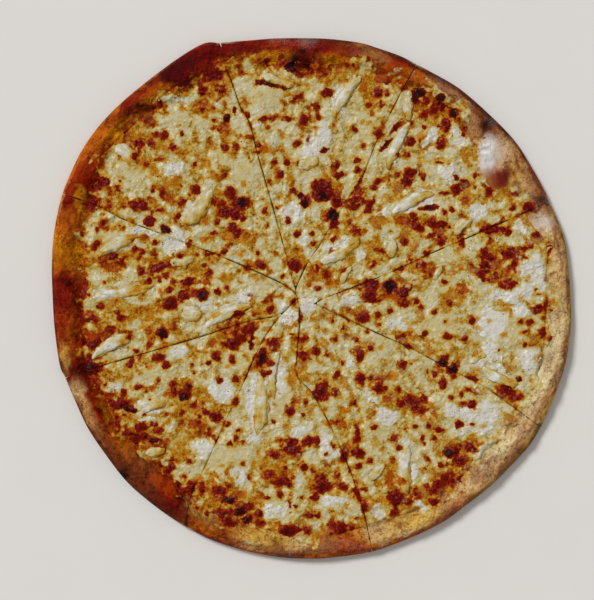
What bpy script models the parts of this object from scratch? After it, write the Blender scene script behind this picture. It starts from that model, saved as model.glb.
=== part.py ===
"""A family-size spicy chicken pizza, cut into eight slices that still lie together.

Each slice is two solids: the crust, which is a thin base that swells into the rim, and the melted
cheese that lies on it and runs out to the cuts. Torn pieces of chicken lie on the cheese.
Lengths are metres and +Z is up. The origin is under the middle of the pizza, on the surface that
carries it, with +X to the right and +Y up in the photograph, which looks straight down.
"""

import math
import random

import bmesh
import bpy
import numpy as np
from mathutils import Vector
from mathutils.bvhtree import BVHTree

# Driving dimensions
PIZZA_WIDTH = 0.3935
BASE_THICKNESS = 0.0040
RIM_HEIGHT = 0.0122
RIM_UNEVENNESS = 0.0011
EDGE_HEIGHT = 0.0030  # how high the outermost point of the rim lies
EDGE_TUCK = 0.0020  # how far the underside ends inside that point
CREST_SHARE = 0.42  # where the rim is highest, as a share of its width from outside
CHEESE_THICKNESS = 0.0034
CHEESE_EDGE = 0.0012
CHEESE_SWELL = 0.0006
LAYER_GAP = 0.0004
CUT_WIDTH = 0.0010
TIP_WIDTH = 0.0024  # a slice starts where its two cuts are this far apart

# The grid of a slice: columns run from cut to cut, rows from the tip to the outer edge.
COLUMNS = 14
TIP_COLUMNS = 2
BASE_ROWS = 10
BASE_STATIONS = tuple(row / BASE_ROWS for row in range(BASE_ROWS + 1))
RIM_STATIONS = (0.08, 0.16, 0.30, 0.44, 0.58, 0.70, 0.81, 0.90, 0.96, 1.0)
CHEESE_STATIONS = RIM_STATIONS[:2]
CHEESE_END = 1 + CHEESE_STATIONS[-1]
CHEESE_TAPER = 0.12  # the part of the last stretch over which the cheese thins out

# The photograph's scale: the width of the pizza and its middle, in pixels
PHOTO_WIDTH = 521.5
PHOTO_MIDDLE = Vector((311.5, 298.5))

# The eight cuts, clockwise from the upper left one, in pixels from where they meet to the outer edge
CUTS_MEET = (298, 298)
CUTS = (
    ((288, 287), (255, 271), (217, 255), (170, 237), (124, 219.5), (99.5, 206.8), (61.5, 193.5)),
    ((274, 211), (257, 152), (250, 124), (240, 106), (233, 85), (226, 68), (222, 50), (220, 42)),
    ((296, 289), (307, 264), (321, 243), (345, 203), (361, 180), (376, 143), (392, 110), (417, 63.5)),
    ((312, 304), (325, 298), (359.5, 285), (397, 269.5), (432, 253), (472, 236), (513.6, 217.7), (550, 201.5)),
    ((311, 302), (337.7, 314.5), (371.4, 330.5), (412.3, 349), (449.5, 369), (486.4, 388), (541.5, 428)),
    ((300, 318), (297.5, 350), (297.5, 376), (313, 394), (330, 425), (350, 470), (364, 513), (372.5, 553)),
    ((273, 325), (256, 354), (244, 382), (227.3, 417.3), (205, 467), (192, 493), (185, 527.5)),
    ((278, 315), (250, 321), (200, 337), (166, 347), (125, 359), (85, 371), (64.5, 378)),
)

# The outer edge of each slice, clockwise between its two cuts, in pixels
OUTLINES = (
    ((66, 182), (80, 152), (98, 126), (121, 102), (150, 78), (180, 56), (204, 42.5)),
    ((250, 39.5), (275, 37.6), (305, 37.4), (330, 38.2), (360, 42), (380, 48), (400, 55)),
    ((431, 71), (460, 88), (490, 114), (515, 140), (533, 168), (545, 190)),
    ((562.6, 231), (568, 255), (571.5, 298), (571.5, 330), (566, 365), (556, 395)),
    ((530, 446), (512, 466), (490, 487.5), (465, 507), (443, 523), (410, 539)),
    ((340, 557.5), (313, 559.5), (280, 558), (245, 551.5), (210, 540)),
    ((155, 507), (127, 483), (105, 455), (87, 428), (74, 400)),
    ((59, 365), (54, 330), (52, 300), (51, 265), (53, 235), (57, 212)),
)

# How wide the rim is on each slice, at five places from its first cut to its last, in millimetres
RIM_WIDTHS_MM = (
    (21, 18, 16, 25, 23),
    (21, 19, 24, 18, 20),
    (18, 17, 24, 24, 18),
    (17, 15, 13, 15, 20),
    (21, 19, 16, 15, 17),
    (17, 15, 15, 18, 19),
    (19, 23, 20, 19, 20),
    (22, 21, 21, 23, 21),
)

# Bubbles and creases in the rim, and mounds in the cheese: place and radius in pixels, height in mm
RIM_HUMPS = (
    (486, 156, 17, 3.0),
    (496, 174, 15, 2.6),
    (489, 127, 10, -2.2),
    (303, 60, 18, 2.2),
    (440, 100, 16, 1.2),
    (190, 74, 22, 1.0),
    (145, 104, 14, 0.9),
    (68, 300, 20, 1.0),
    (125, 476, 12, -1.6),
    (150, 490, 22, 1.2),
    (541, 428, 10, -1.2),
)
CHEESE_MOUNDS = (
    (262, 100, 30, 0.9),
    (130, 172, 26, 0.7),
    (224, 172, 28, 0.6),
    (400, 110, 26, 0.8),
    (440, 165, 26, 0.7),
    (500, 265, 26, -0.7),
    (505, 330, 30, 0.7),
    (345, 340, 26, 0.6),
    (420, 380, 28, -0.6),
    (245, 455, 30, 0.7),
    (205, 380, 26, 0.6),
    (160, 275, 22, -0.8),
    (240, 208, 20, -0.7),
)

# Long gentle waves of the surface: bearing in degrees, wavelength in metres, phase
WAVES = ((20, 0.071, 0.4), (95, 0.053, 1.9), (150, 0.093, 3.1))

# Torn chicken: place in pixels, length, width and height in millimetres, bearing in degrees
CHICKEN = (
    (197, 208, 35, 12, 4.4, 50),
    (126, 155, 22, 11, 3.6, -45),
    (279, 80, 26, 8, 4.2, -20),
    (347, 97, 38, 9, 4.6, 57),
    (308, 162, 17, 10, 3.4, 10),
    (399, 146, 39, 8, 4.6, 65),
    (407, 110, 18, 7, 3.4, 95),
    (413, 203, 36, 9, 4.2, 25),
    (340, 250, 36, 10, 4.4, 32),
    (347, 275, 16, 5, 3.2, 58),
    (391, 248, 14, 8, 3.6, 80),
    (463, 226, 18, 8, 3.4, 45),
    (437, 273, 12, 5, 3.0, 60),
    (478, 359, 14, 6, 3.2, 30),
    (501, 377, 30, 9, 4.6, -25),
    (407, 470, 38, 10, 4.6, 90),
    (376, 472, 16, 7, 3.2, 45),
    (276, 375, 37, 6, 4.0, 84),
    (258, 405, 46, 12, 4.4, 88),
    (152, 406, 24, 11, 3.8, 15),
    (155, 451, 16, 8, 3.8, 10),
    (112, 347, 34, 10, 4.6, 28),
    (192, 314, 16, 11, 3.4, 0),
    (228, 316, 38, 9, 4.2, 25),
    (126, 289, 42, 8, 4.0, 8),
    (118, 246, 33, 9, 4.0, 25),
    (182, 260, 20, 8, 3.4, 10),
)
CHICKEN_POINTS = 6
CHICKEN_BEND = 0.07  # how far a piece bows, as a share of its length
CHICKEN_TAPER = 0.5  # how much thinner its two ends are
CHICKEN_GAP = 0.0005
CHICKEN_FLAT = 0.5  # the lower part of a piece, as a share of half its height, that lies flat
SEED = 7

MILLIMETRE = 0.001
PIXEL = PIZZA_WIDTH / PHOTO_WIDTH
MERGE_DISTANCE = 0.00001
SMOOTH_ANGLE = math.radians(40)

CRUST_FINISH = ("baked crust", (0.42, 0.17, 0.05), 0.7)
CHEESE_FINISH = ("melted cheese", (0.62, 0.53, 0.28), 0.4)
CHICKEN_FINISH = ("torn chicken", (0.66, 0.57, 0.38), 0.55)


def spot(x, y):
    """The place on the table of a pixel of the photograph."""
    return Vector(((x - PHOTO_MIDDLE.x) * PIXEL, (PHOTO_MIDDLE.y - y) * PIXEL))


def smooth_path(points, steps=12):
    """Points along a smooth curve that passes through the given ones."""
    ends = [points[0] * 2 - points[1], *points, points[-1] * 2 - points[-2]]
    path = []
    for a, b, c, d in zip(ends, ends[1:], ends[2:], ends[3:]):
        for i in range(steps):
            t = i / steps
            path.append(
                b + (c - a) * t / 2 + (a - b * 2.5 + c * 2 - d / 2) * t**2 + ((b - c) * 1.5 + (d - a) / 2) * t**3
            )
    return np.array([*path, points[-1]])


def beside(path, distance):
    """The path moved to its right, seen along it, by a distance."""
    along = np.gradient(path, axis=0)
    along /= np.linalg.norm(along, axis=1)[:, None]
    return path + distance * np.stack([along[:, 1], -along[:, 0]], axis=1)


def runner(path):
    """A function of 0 to 1 that runs along the path at an even speed."""
    steps = np.linalg.norm(np.diff(path, axis=0), axis=1)
    share = np.concatenate([[0], np.cumsum(steps)]) / steps.sum()
    return lambda t: Vector((np.interp(t, share, path[:, 0]), np.interp(t, share, path[:, 1])))


def smoothstep(t):
    t = min(max(t, 0), 1)
    return t * t * (3 - 2 * t)


def waves(x, y):
    """A gentle unevenness between about -1 and 1."""
    total = 0
    for degrees, length, phase in WAVES:
        along = x * math.cos(math.radians(degrees)) + y * math.sin(math.radians(degrees))
        total += math.sin(2 * math.pi * along / length + phase)
    return total / len(WAVES)


def humps(x, y, places):
    """The height that the bubbles or mounds add here."""
    total = 0
    for px, py, radius, height in places:
        away = (Vector((x, y)) - spot(px, py)).length / (radius * PIXEL)
        total += height * MILLIMETRE * (1 - away**2) ** 2 if away < 1 else 0
    return total


class Slice:
    """The plan of one slice: where its grid's points lie, and how high its dough and cheese stand."""

    def __init__(self, index):
        first = smooth_path([spot(*CUTS_MEET), *[spot(*p) for p in CUTS[index]]])
        last = smooth_path([spot(*CUTS_MEET), *[spot(*p) for p in CUTS[(index + 1) % len(CUTS)]]])
        first = beside(first, CUT_WIDTH / 2)
        last = beside(last, -CUT_WIDTH / 2)
        edge = [Vector(first[-1]), *[spot(*p) for p in OUTLINES[index]], Vector(last[-1])]
        self.first, self.last, self.outline = runner(first), runner(last), runner(smooth_path(edge))
        self.middle = spot(*CUTS_MEET)
        shares = np.linspace(0.3, 0, 121)
        wide = [share for share in shares if (self.first(share) - self.last(share)).length > TIP_WIDTH]
        self.tip = next((a for a, b in zip(wide, wide[1:]) if a - b > 1.5 * (shares[0] - shares[1])), wide[-1])
        self.rim_widths = [width * MILLIMETRE for width in RIM_WIDTHS_MM[index]]

    def place(self, u, station):
        """u runs from cut to cut. The station is 0 at the tip, 1 where the rim starts, 2 outside."""
        width = np.interp(u, np.linspace(0, 1, len(self.rim_widths)), self.rim_widths) / (2 - CHEESE_END)
        rim = width / (self.outline(u) - self.middle).length
        v = float(self.tip + (1 - rim - self.tip) * station if station < 1 else 1 - rim * (2 - station))
        chord = self.outline(0).lerp(self.outline(1), u)
        return self.first(v).lerp(self.last(v), u) + v * (self.outline(u) - chord)

    def dough(self, u, station):
        """The height of the dough's upper side."""
        x, y = self.place(u, station)
        rise = station - 1
        crest = RIM_HEIGHT + RIM_UNEVENNESS * waves(x, y)
        foot_to_crest = 1 - CREST_SHARE
        if rise <= 0:
            return BASE_THICKNESS
        if rise < foot_to_crest:
            height = BASE_THICKNESS + (crest - BASE_THICKNESS) * (1 - math.cos(math.pi * rise / foot_to_crest)) / 2
        else:
            outward = (rise - foot_to_crest) / CREST_SHARE
            height = EDGE_HEIGHT + (crest - EDGE_HEIGHT) * math.sqrt(max(1 - outward**2, 0))
        return height + humps(x, y, RIM_HUMPS) * smoothstep(rise * 4) * smoothstep((1 - rise) * 6)

    def cheese(self, u, station):
        """The height of the cheese's upper side."""
        x, y = self.place(u, station)
        full = smoothstep((CHEESE_END - station) / CHEESE_TAPER)
        thickness = CHEESE_EDGE + (CHEESE_THICKNESS - CHEESE_EDGE) * full
        relief = CHEESE_SWELL * waves(y, x) + humps(x, y, CHEESE_MOUNDS)
        return self.dough(u, station) + LAYER_GAP + thickness + relief * full


def finish(name, colour, roughness):
    material = bpy.data.materials.get(name) or bpy.data.materials.new(name)
    material.use_nodes = True
    shader = material.node_tree.nodes["Principled BSDF"]
    shader.inputs["Base Color"].default_value = (*colour, 1)
    shader.inputs["Roughness"].default_value = roughness
    shader.inputs["Metallic"].default_value = 0
    material.diffuse_color = (*colour, 1)
    return material


def add_object(name, mesh, material, collection):
    obj = bpy.data.objects.new(name, mesh)
    mesh.materials.clear()
    mesh.materials.append(finish(*material))
    mesh.shade_smooth()
    mesh.set_sharp_from_angle(angle=SMOOTH_ANGLE)
    collection.objects.link(obj)
    return obj


def bent_slab(name, stations, top, bottom, place, flat_above, flat_below):
    """A flat grid, extruded to a closed slab and bent: columns from cut to cut, rows at the stations.

    place, top and bottom take u and a station, and give a point's plan and the two heights there.
    So many rows from the tip are flat above and below, and each such row is joined to one face.
    """
    rows = len(stations) - 1
    slab = bmesh.new()
    bmesh.ops.create_grid(slab, x_segments=COLUMNS, y_segments=rows, size=0.5)
    raised = bmesh.ops.extrude_face_region(slab, geom=slab.faces[:], use_keep_orig=True)["geom"]
    upper = {element for element in raised if isinstance(element, bmesh.types.BMVert)}
    column_of = {vertex: round((vertex.co.x + 0.5) * COLUMNS) for vertex in slab.verts}
    row_of = {vertex: round((vertex.co.y + 0.5) * rows) for vertex in slab.verts}

    inner_edges = []
    for edge in slab.edges:
        a, b = edge.verts
        flat_rows = flat_above if a in upper else flat_below
        runs_along_column = column_of[a] == column_of[b] and (a in upper) == (b in upper)
        if runs_along_column and 0 < column_of[a] < COLUMNS and max(row_of[a], row_of[b]) <= flat_rows:
            inner_edges.append(edge)

    for vertex in slab.verts:
        columns = COLUMNS if row_of[vertex] else TIP_COLUMNS
        u = round(column_of[vertex] / COLUMNS * columns) / columns
        station = stations[row_of[vertex]]
        side = top if vertex in upper else bottom
        vertex.co = (*place(u, station, vertex in upper), side(u, station))
    bmesh.ops.dissolve_edges(slab, edges=inner_edges, use_verts=True)
    bmesh.ops.remove_doubles(slab, verts=slab.verts, dist=MERGE_DISTANCE)
    bmesh.ops.recalc_face_normals(slab, faces=slab.faces)
    bmesh.ops.triangulate(slab, faces=slab.faces)
    mesh = bpy.data.meshes.new(name)
    slab.to_mesh(mesh)
    slab.free()
    return mesh


def crust_mesh(name, plan):
    """The base and the rim, whose underside ends a little inside the outermost point."""
    stations = [*BASE_STATIONS, *[1 + rise for rise in RIM_STATIONS]]

    def place(u, station, is_top):
        point = plan.place(u, station)
        tuck = 0 if is_top else EDGE_TUCK * max(station - 1, 0)
        return point + (plan.middle - point).normalized() * tuck

    return bent_slab(
        name,
        stations,
        top=plan.dough,
        bottom=lambda u, station: 0,
        place=place,
        flat_above=BASE_ROWS,
        flat_below=len(stations) - 1,
    )


def cheese_mesh(name, plan):
    """The cheese, whose underside follows the dough just above it."""
    return bent_slab(
        name,
        stations=[*BASE_STATIONS, *[1 + rise for rise in CHEESE_STATIONS]],
        top=plan.cheese,
        bottom=lambda u, station: plan.dough(u, station) + LAYER_GAP,
        place=lambda u, station, is_top: plan.place(u, station),
        flat_above=0,
        flat_below=BASE_ROWS,
    )


def chicken_mesh(name, place, length, width, height, bearing, ground, draw):
    """A bent tube that tapers at both ends, pressed flat and laid on the cheese under it."""
    curve = bpy.data.curves.new(name, "CURVE")
    curve.dimensions = "3D"
    curve.bevel_depth = width / 2
    curve.bevel_resolution = 1
    curve.use_fill_caps = True
    spline = curve.splines.new("POLY")
    spline.points.add(CHICKEN_POINTS - 1)
    bow = CHICKEN_BEND * length * draw.choice((-1, 1))
    for i, point in enumerate(spline.points):
        t = 2 * i / (CHICKEN_POINTS - 1) - 1
        point.co = (t * length / 2, bow * (1 - t * t), 0, 1)
        point.radius = (1 - CHICKEN_TAPER * t**4) * draw.uniform(0.8, 1.0)
    guide = bpy.data.objects.new(name + " guide", curve)
    bpy.context.scene.collection.objects.link(guide)
    mesh = bpy.data.meshes.new_from_object(guide.evaluated_get(bpy.context.evaluated_depsgraph_get()))
    bpy.data.objects.remove(guide)
    piece = bmesh.new()
    piece.from_mesh(mesh)
    bmesh.ops.remove_doubles(piece, verts=piece.verts, dist=1e-5)
    bmesh.ops.recalc_face_normals(piece, faces=piece.faces)
    turn = (math.cos(bearing), math.sin(bearing))
    for vertex in piece.verts:
        x = place.x + vertex.co.x * turn[0] - vertex.co.y * turn[1]
        y = place.y + vertex.co.x * turn[1] + vertex.co.y * turn[0]
        level = vertex.co.z / (width / 2)
        lift = max(0, (level + CHICKEN_FLAT) / (1 + CHICKEN_FLAT)) * height
        hit = ground.ray_cast(Vector((x, y, 1)), Vector((0, 0, -1)))[0]
        if hit is None or hit.z < BASE_THICKNESS:
            raise ValueError(f"{name} reaches past the cheese at {x:.4f}, {y:.4f}")
        vertex.co = (x, y, hit.z + CHICKEN_GAP + lift)
    piece.to_mesh(mesh)
    piece.free()
    return mesh


def surface_of(objects):
    """One tree of all the triangles of the objects, to lay pieces on."""
    points, faces = [], []
    for obj in objects:
        start = len(points)
        points += [vertex.co.copy() for vertex in obj.data.vertices]
        faces += [[start + i for i in polygon.vertices] for polygon in obj.data.polygons]
    return BVHTree.FromPolygons(points, faces)


def main():
    for obj in list(bpy.data.objects):
        bpy.data.objects.remove(obj)
    pizza = bpy.data.collections.new("spicy chicken pizza")
    bpy.context.scene.collection.children.link(pizza)

    cheeses = []
    for index in range(len(CUTS)):
        plan = Slice(index)
        name = f"slice_{index + 1}"
        add_object(f"{name}_crust", crust_mesh(f"{name}_crust", plan), CRUST_FINISH, pizza)
        cheese = cheese_mesh(f"{name}_cheese", plan)
        cheeses.append(add_object(f"{name}_cheese", cheese, CHEESE_FINISH, pizza))

    ground = surface_of(cheeses)
    draw = random.Random(SEED)
    for index, (x, y, length, width, height, degrees) in enumerate(CHICKEN):
        name = f"chicken_{index + 1:02d}"
        sizes = [size * MILLIMETRE for size in (length, width, height)]
        mesh = chicken_mesh(name, spot(x, y), *sizes, math.radians(degrees), ground, draw)
        add_object(name, mesh, CHICKEN_FINISH, pizza)


main()
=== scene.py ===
# %% [markdown]
# # A spicy chicken pizza in eight slices
# The solids of the pizza are already there: a crust and a layer of cheese for each slice, and torn
# pieces of chicken. They hold the sizes, but they are plain. This lesson gives them their looks: a
# rim with bubbles and char, cheese that has melted, browned and blistered, and the crumbs on top.
# Each slice and each flake of chicken takes the place of one solid, so the plan below repeats the
# solids' own sizes. Only the scattered herbs and crumbs are extra.

# %% Load the plain solids
import math

import bmesh
import bpy
import numpy as np
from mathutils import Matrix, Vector, geometry


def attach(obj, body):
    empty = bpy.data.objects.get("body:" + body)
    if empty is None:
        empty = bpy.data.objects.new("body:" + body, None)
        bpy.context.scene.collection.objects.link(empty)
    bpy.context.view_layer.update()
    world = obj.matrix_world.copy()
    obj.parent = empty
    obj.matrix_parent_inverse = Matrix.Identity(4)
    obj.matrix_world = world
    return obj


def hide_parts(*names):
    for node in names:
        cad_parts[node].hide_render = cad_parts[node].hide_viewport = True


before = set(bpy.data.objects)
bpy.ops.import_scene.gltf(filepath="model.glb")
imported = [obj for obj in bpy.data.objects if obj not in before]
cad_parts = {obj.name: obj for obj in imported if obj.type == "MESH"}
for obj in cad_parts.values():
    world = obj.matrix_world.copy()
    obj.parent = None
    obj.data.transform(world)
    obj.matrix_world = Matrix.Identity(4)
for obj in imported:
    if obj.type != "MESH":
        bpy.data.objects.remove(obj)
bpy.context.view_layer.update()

# %% [markdown]
# ## From the photograph to metres
# The photograph looks straight down, so one scale turns its pixels into places on the table. The
# middle of the pizza is the origin. Everything below that is read from the photograph, such as a
# cut or a blister, is given in its pixels, and heights and thicknesses are given in metres.

# %% The photograph's scale
PIZZA_WIDTH = 0.3935
PHOTO_WIDTH = 521.5
PHOTO_MIDDLE = np.array([311.5, 298.5])
PIXEL = PIZZA_WIDTH / PHOTO_WIDTH
MILLIMETRE = 0.001


def spot(x, y):
    """The place on the table of a pixel of the photograph."""
    return np.array([x - PHOTO_MIDDLE[0], PHOTO_MIDDLE[1] - y]) * PIXEL


print(f"one pixel is {PIXEL * 1000:.3f} mm")

# %% [markdown]
# ## The plan of the slices
# A wheel cutter leaves lines that bend a little. Each is a smooth curve through a few points, and
# each slice is what lies between two cuts, less half the width of the gap. The outer edge is a
# curve of its own, because dough is never quite round.

# %% The cuts, the outer edge and the width of the rim
CUT_WIDTH = 0.0010
TIP_WIDTH = 0.0011
CUTS_MEET = (298, 298)
CUTS = (
    ((288, 287), (255, 271), (217, 255), (170, 237), (124, 219.5), (99.5, 206.8), (61.5, 193.5)),
    ((274, 211), (257, 152), (250, 124), (240, 106), (233, 85), (226, 68), (222, 50), (220, 42)),
    ((296, 289), (307, 264), (321, 243), (345, 203), (361, 180), (376, 143), (392, 110), (417, 63.5)),
    ((312, 304), (325, 298), (359.5, 285), (397, 269.5), (432, 253), (472, 236), (513.6, 217.7),
     (550, 201.5)),
    ((311, 302), (337.7, 314.5), (371.4, 330.5), (412.3, 349), (449.5, 369), (486.4, 388), (541.5, 428)),
    ((300, 318), (297.5, 350), (297.5, 376), (313, 394), (330, 425), (350, 470), (364, 513), (372.5, 553)),
    ((273, 325), (256, 354), (244, 382), (227.3, 417.3), (205, 467), (192, 493), (185, 527.5)),
    ((278, 315), (250, 321), (200, 337), (166, 347), (125, 359), (85, 371), (64.5, 378)),
)
OUTLINES = (
    ((66, 182), (80, 152), (98, 126), (121, 102), (150, 78), (180, 56), (204, 42.5)),
    ((250, 39.5), (275, 37.6), (305, 37.4), (330, 38.2), (360, 42), (380, 48), (400, 55)),
    ((431, 71), (460, 88), (490, 114), (515, 140), (533, 168), (545, 190)),
    ((562.6, 231), (568, 255), (571.5, 298), (571.5, 330), (566, 365), (556, 395)),
    ((530, 446), (512, 466), (490, 487.5), (465, 507), (443, 523), (410, 539)),
    ((340, 557.5), (313, 559.5), (280, 558), (245, 551.5), (210, 540)),
    ((155, 507), (127, 483), (105, 455), (87, 428), (74, 400)),
    ((59, 365), (54, 330), (52, 300), (51, 265), (53, 235), (57, 212)),
)
RIM_WIDTHS_MM = (
    (21, 18, 16, 25, 23),
    (21, 19, 24, 18, 20),
    (18, 17, 24, 24, 18),
    (17, 15, 13, 15, 20),
    (21, 19, 16, 15, 17),
    (17, 15, 15, 18, 19),
    (19, 23, 20, 19, 20),
    (22, 21, 21, 23, 21),
)


def smooth_path(points, steps=12):
    """Points along a smooth curve that passes through the given ones."""
    ends = np.array([points[0] * 2 - points[1], *points, points[-1] * 2 - points[-2]])
    path = []
    for a, b, c, d in zip(ends, ends[1:], ends[2:], ends[3:]):
        for t in np.arange(steps) / steps:
            bend = (a - b * 2.5 + c * 2 - d / 2) * t**2 + ((b - c) * 1.5 + (d - a) / 2) * t**3
            path.append(b + (c - a) * t / 2 + bend)
    return np.array([*path, points[-1]])


def beside(path, distance):
    """The path moved to its right, seen along it, by a distance."""
    along = np.gradient(path, axis=0)
    along /= np.linalg.norm(along, axis=1)[:, None]
    return path + distance * np.stack([along[:, 1], -along[:, 0]], axis=1)


def shares_along(path):
    """How far along the path each of its points lies, from 0 to 1."""
    steps = np.linalg.norm(np.diff(path, axis=0), axis=1)
    return np.concatenate([[0], np.cumsum(steps)]) / steps.sum()


def evenly(path, spacing):
    """The path's points replaced by ones about this far apart."""
    length = np.linalg.norm(np.diff(path, axis=0), axis=1).sum()
    t = np.linspace(0, 1, max(2, round(length / spacing) + 1))
    share = shares_along(path)
    return np.stack([np.interp(t, share, path[:, 0]), np.interp(t, share, path[:, 1])], axis=1)


middle = spot(*CUTS_MEET)
cut_paths = [smooth_path([middle, *[spot(*p) for p in cut]]) for cut in CUTS]
edge_paths = []
for index, outline in enumerate(OUTLINES):
    first_end = beside(cut_paths[index], CUT_WIDTH / 2)[-1]
    last_end = beside(cut_paths[(index + 1) % 8], -CUT_WIDTH / 2)[-1]
    edge_paths.append(smooth_path([first_end, *[spot(*p) for p in outline], last_end]))
cut_lengths = [round(float(np.linalg.norm(path[-1] - middle)) * 1000) for path in cut_paths]
print("the cuts are", cut_lengths, "mm long")

# %% [markdown]
# ## Round the pizza by bearing
# Seen from where the cuts meet, every place has a bearing and a distance. Two tables over the
# bearing say how far off the outer edge is and how wide the rim is there. From these come the two
# numbers that shape the dough: the distance to the outer edge, and the rise, which is 0 where the
# rim starts and 1 at the edge.

# %% Distance to the edge, and the rise of the rim
CHEESE_RISE = 0.16  # how far up the rim the cheese reaches


def bearing_of(points):
    return np.arctan2(points[:, 1] - middle[1], points[:, 0] - middle[0])


ring = np.concatenate(edge_paths)
ring_widths = np.concatenate([
    np.interp(shares_along(path), np.linspace(0, 1, len(widths)), widths) * MILLIMETRE
    for path, widths in zip(edge_paths, RIM_WIDTHS_MM)
])
ring_order = np.argsort(bearing_of(ring))
ring_bearing = bearing_of(ring)[ring_order]
ring_radius = np.linalg.norm(ring - middle, axis=1)[ring_order]
ring_width = ring_widths[ring_order]


def edge_and_rise(points):
    """Each point's distance to the outer edge, and how far up the rim it lies."""
    bearing = bearing_of(points)
    radius = np.interp(bearing, ring_bearing, ring_radius, period=2 * math.pi)
    width = np.interp(bearing, ring_bearing, ring_width, period=2 * math.pi)
    from_edge = radius - np.linalg.norm(points - middle, axis=1)
    return from_edge, 1 - from_edge * (1 - CHEESE_RISE) / width


print(f"the rim is {ring_width.min() * 1000:.0f} to {ring_width.max() * 1000:.0f} mm wide")

# %% [markdown]
# ## Uneven by rule
# Food has no straight lines. A smooth random field is a grid of random numbers, blended between
# its points. Added at several sizes, each half as strong as the last, it gives swells, crags and
# grain. It could be Blender's own noise, but a whole array at once is quicker this way, and the
# fixed seed gives the same pizza each time.

# %% A smooth random field
FIELD = 128
random_numbers = np.random.default_rng(5).uniform(-1, 1, (FIELD, FIELD))


def uneven(points, size, octaves=1, shift=0.0, stretch=(1.0, 1.0), turn=0.0):
    """A field between about -1 and 1 whose swells are this large, in metres."""
    turn = math.radians(turn)
    x = points[:, 0] * math.cos(turn) + points[:, 1] * math.sin(turn)
    y = points[:, 1] * math.cos(turn) - points[:, 0] * math.sin(turn)
    total, strength = np.zeros(len(points)), 1.0
    for octave in range(octaves):
        u = x / (size * stretch[0]) * 2**octave + shift * 7.31 + octave * 17.7
        v = y / (size * stretch[1]) * 2**octave - shift * 3.17 + octave * 9.2
        i, j = np.floor(u).astype(int), np.floor(v).astype(int)
        s, t = u - i, v - j
        s, t = s * s * (3 - 2 * s), t * t * (3 - 2 * t)
        corner = [[random_numbers[(i + a) % FIELD, (j + b) % FIELD] for b in (0, 1)] for a in (0, 1)]
        low, high = corner[0][0] * (1 - t) + corner[0][1] * t, corner[1][0] * (1 - t) + corner[1][1] * t
        total += (low * (1 - s) + high * s) * strength
        strength /= 2
    return total * 1.5


def smoothstep(low, high, value):
    t = np.clip((value - low) / (high - low), 0, 1)
    return t * t * (3 - 2 * t)


print("a field of", FIELD, "by", FIELD, "random numbers")

# %% [markdown]
# ## Patches and spots
# Most of what makes this pizza itself is where things are: which parts are white, where the oil
# stands, where it has browned. An oval patch has a middle, a length and a width in pixels, and a
# bearing in degrees. Its depth is how far inside it a point lies, in millimetres, so a finish can
# cut it off sharply or let it fade. Moving the points a little at random first keeps it from
# looking drawn with a compass. Each use has its own shift, which picks another part of the field.

# %% How deep in an oval patch the points lie
def wobble(points, size, amount, shift):
    """The points moved about at random by up to about this amount."""
    moves = [uneven(points, size, 2, shift), uneven(points, size, 2, shift + 3)]
    return points + amount * np.stack(moves, axis=1)


def depth_in(points, patches, furthest=4.0):
    """How far inside the nearest of the patches each point lies, in mm; outside it is negative.

    A patch is x, y, length in pixels, and perhaps a width and a bearing.
    """
    depth = np.full(len(points), -furthest)
    for x, y, length, *rest in patches:
        width, bearing = (*rest, 0)[:2] if rest else (length, 0)
        turn = math.radians(bearing)
        away = points - spot(x, y)
        reach = max(length, width) * PIXEL / 2 + furthest * MILLIMETRE
        near = np.flatnonzero((abs(away[:, 0]) < reach) & (abs(away[:, 1]) < reach))
        if len(near) == 0:
            continue
        along = (away[near, 0] * math.cos(turn) + away[near, 1] * math.sin(turn)) / (length * PIXEL / 2)
        across = (away[near, 1] * math.cos(turn) - away[near, 0] * math.sin(turn)) / (width * PIXEL / 2)
        inside = (1 - np.hypot(along, across)) * min(length, width) * PIXEL / 2 / MILLIMETRE
        depth[near] = np.maximum(depth[near], inside)
    return depth


test_depth = depth_in(spot(100, 100)[None], [(100, 100, 10)])[0]
print(f"the middle of a round patch of 10 pixels is {test_depth:.1f} mm deep")

# %% [markdown]
# ## Where the dough and the cheese stand
# The height of the dough follows the solids: flat under the cheese, then up to the crest of the
# rim, then round and down to the outer edge. Large bubbles, hollows and mounds sit where the
# photograph shows them, as low domes. The crags that the plain solids leave out come later.

# %% The heights of the solids
BASE_THICKNESS = 0.0040
RIM_HEIGHT = 0.0122
RIM_UNEVENNESS = 0.0011
EDGE_HEIGHT = 0.0030
EDGE_TUCK = 0.0020
CREST_SHARE = 0.42
CHEESE_THICKNESS = 0.0034
CHEESE_EDGE = 0.0012
CHEESE_SWELL = 0.0006
LAYER_GAP = 0.0004
WAVES = ((20, 0.071, 0.4), (95, 0.053, 1.9), (150, 0.093, 3.1))

RIM_HUMPS = (  # x, y and radius in pixels, height in millimetres
    (486, 156, 17, 3.0), (496, 174, 15, 2.6), (489, 127, 10, -2.2), (303, 60, 18, 2.2),
    (440, 100, 16, 1.2), (190, 74, 22, 1.0), (145, 104, 14, 0.9), (68, 300, 20, 1.0),
    (125, 476, 12, -1.6), (150, 490, 22, 1.2), (541, 428, 10, -1.2),
)
CHEESE_MOUNDS = (  # the same, on the cheese
    (262, 100, 30, 0.9), (130, 172, 26, 0.7), (224, 172, 28, 0.6), (400, 110, 26, 0.8),
    (440, 165, 26, 0.7), (500, 265, 26, -0.7), (505, 330, 30, 0.7), (345, 340, 26, 0.6),
    (420, 380, 28, -0.6), (245, 455, 30, 0.7), (205, 380, 26, 0.6), (160, 275, 22, -0.8),
    (240, 208, 20, -0.7),
)


def waves(x, y):
    """The long gentle unevenness of the solids."""
    total = 0
    for degrees, length, phase in WAVES:
        along = x * math.cos(math.radians(degrees)) + y * math.sin(math.radians(degrees))
        total = total + np.sin(2 * math.pi * along / length + phase)
    return total / len(WAVES)


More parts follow.
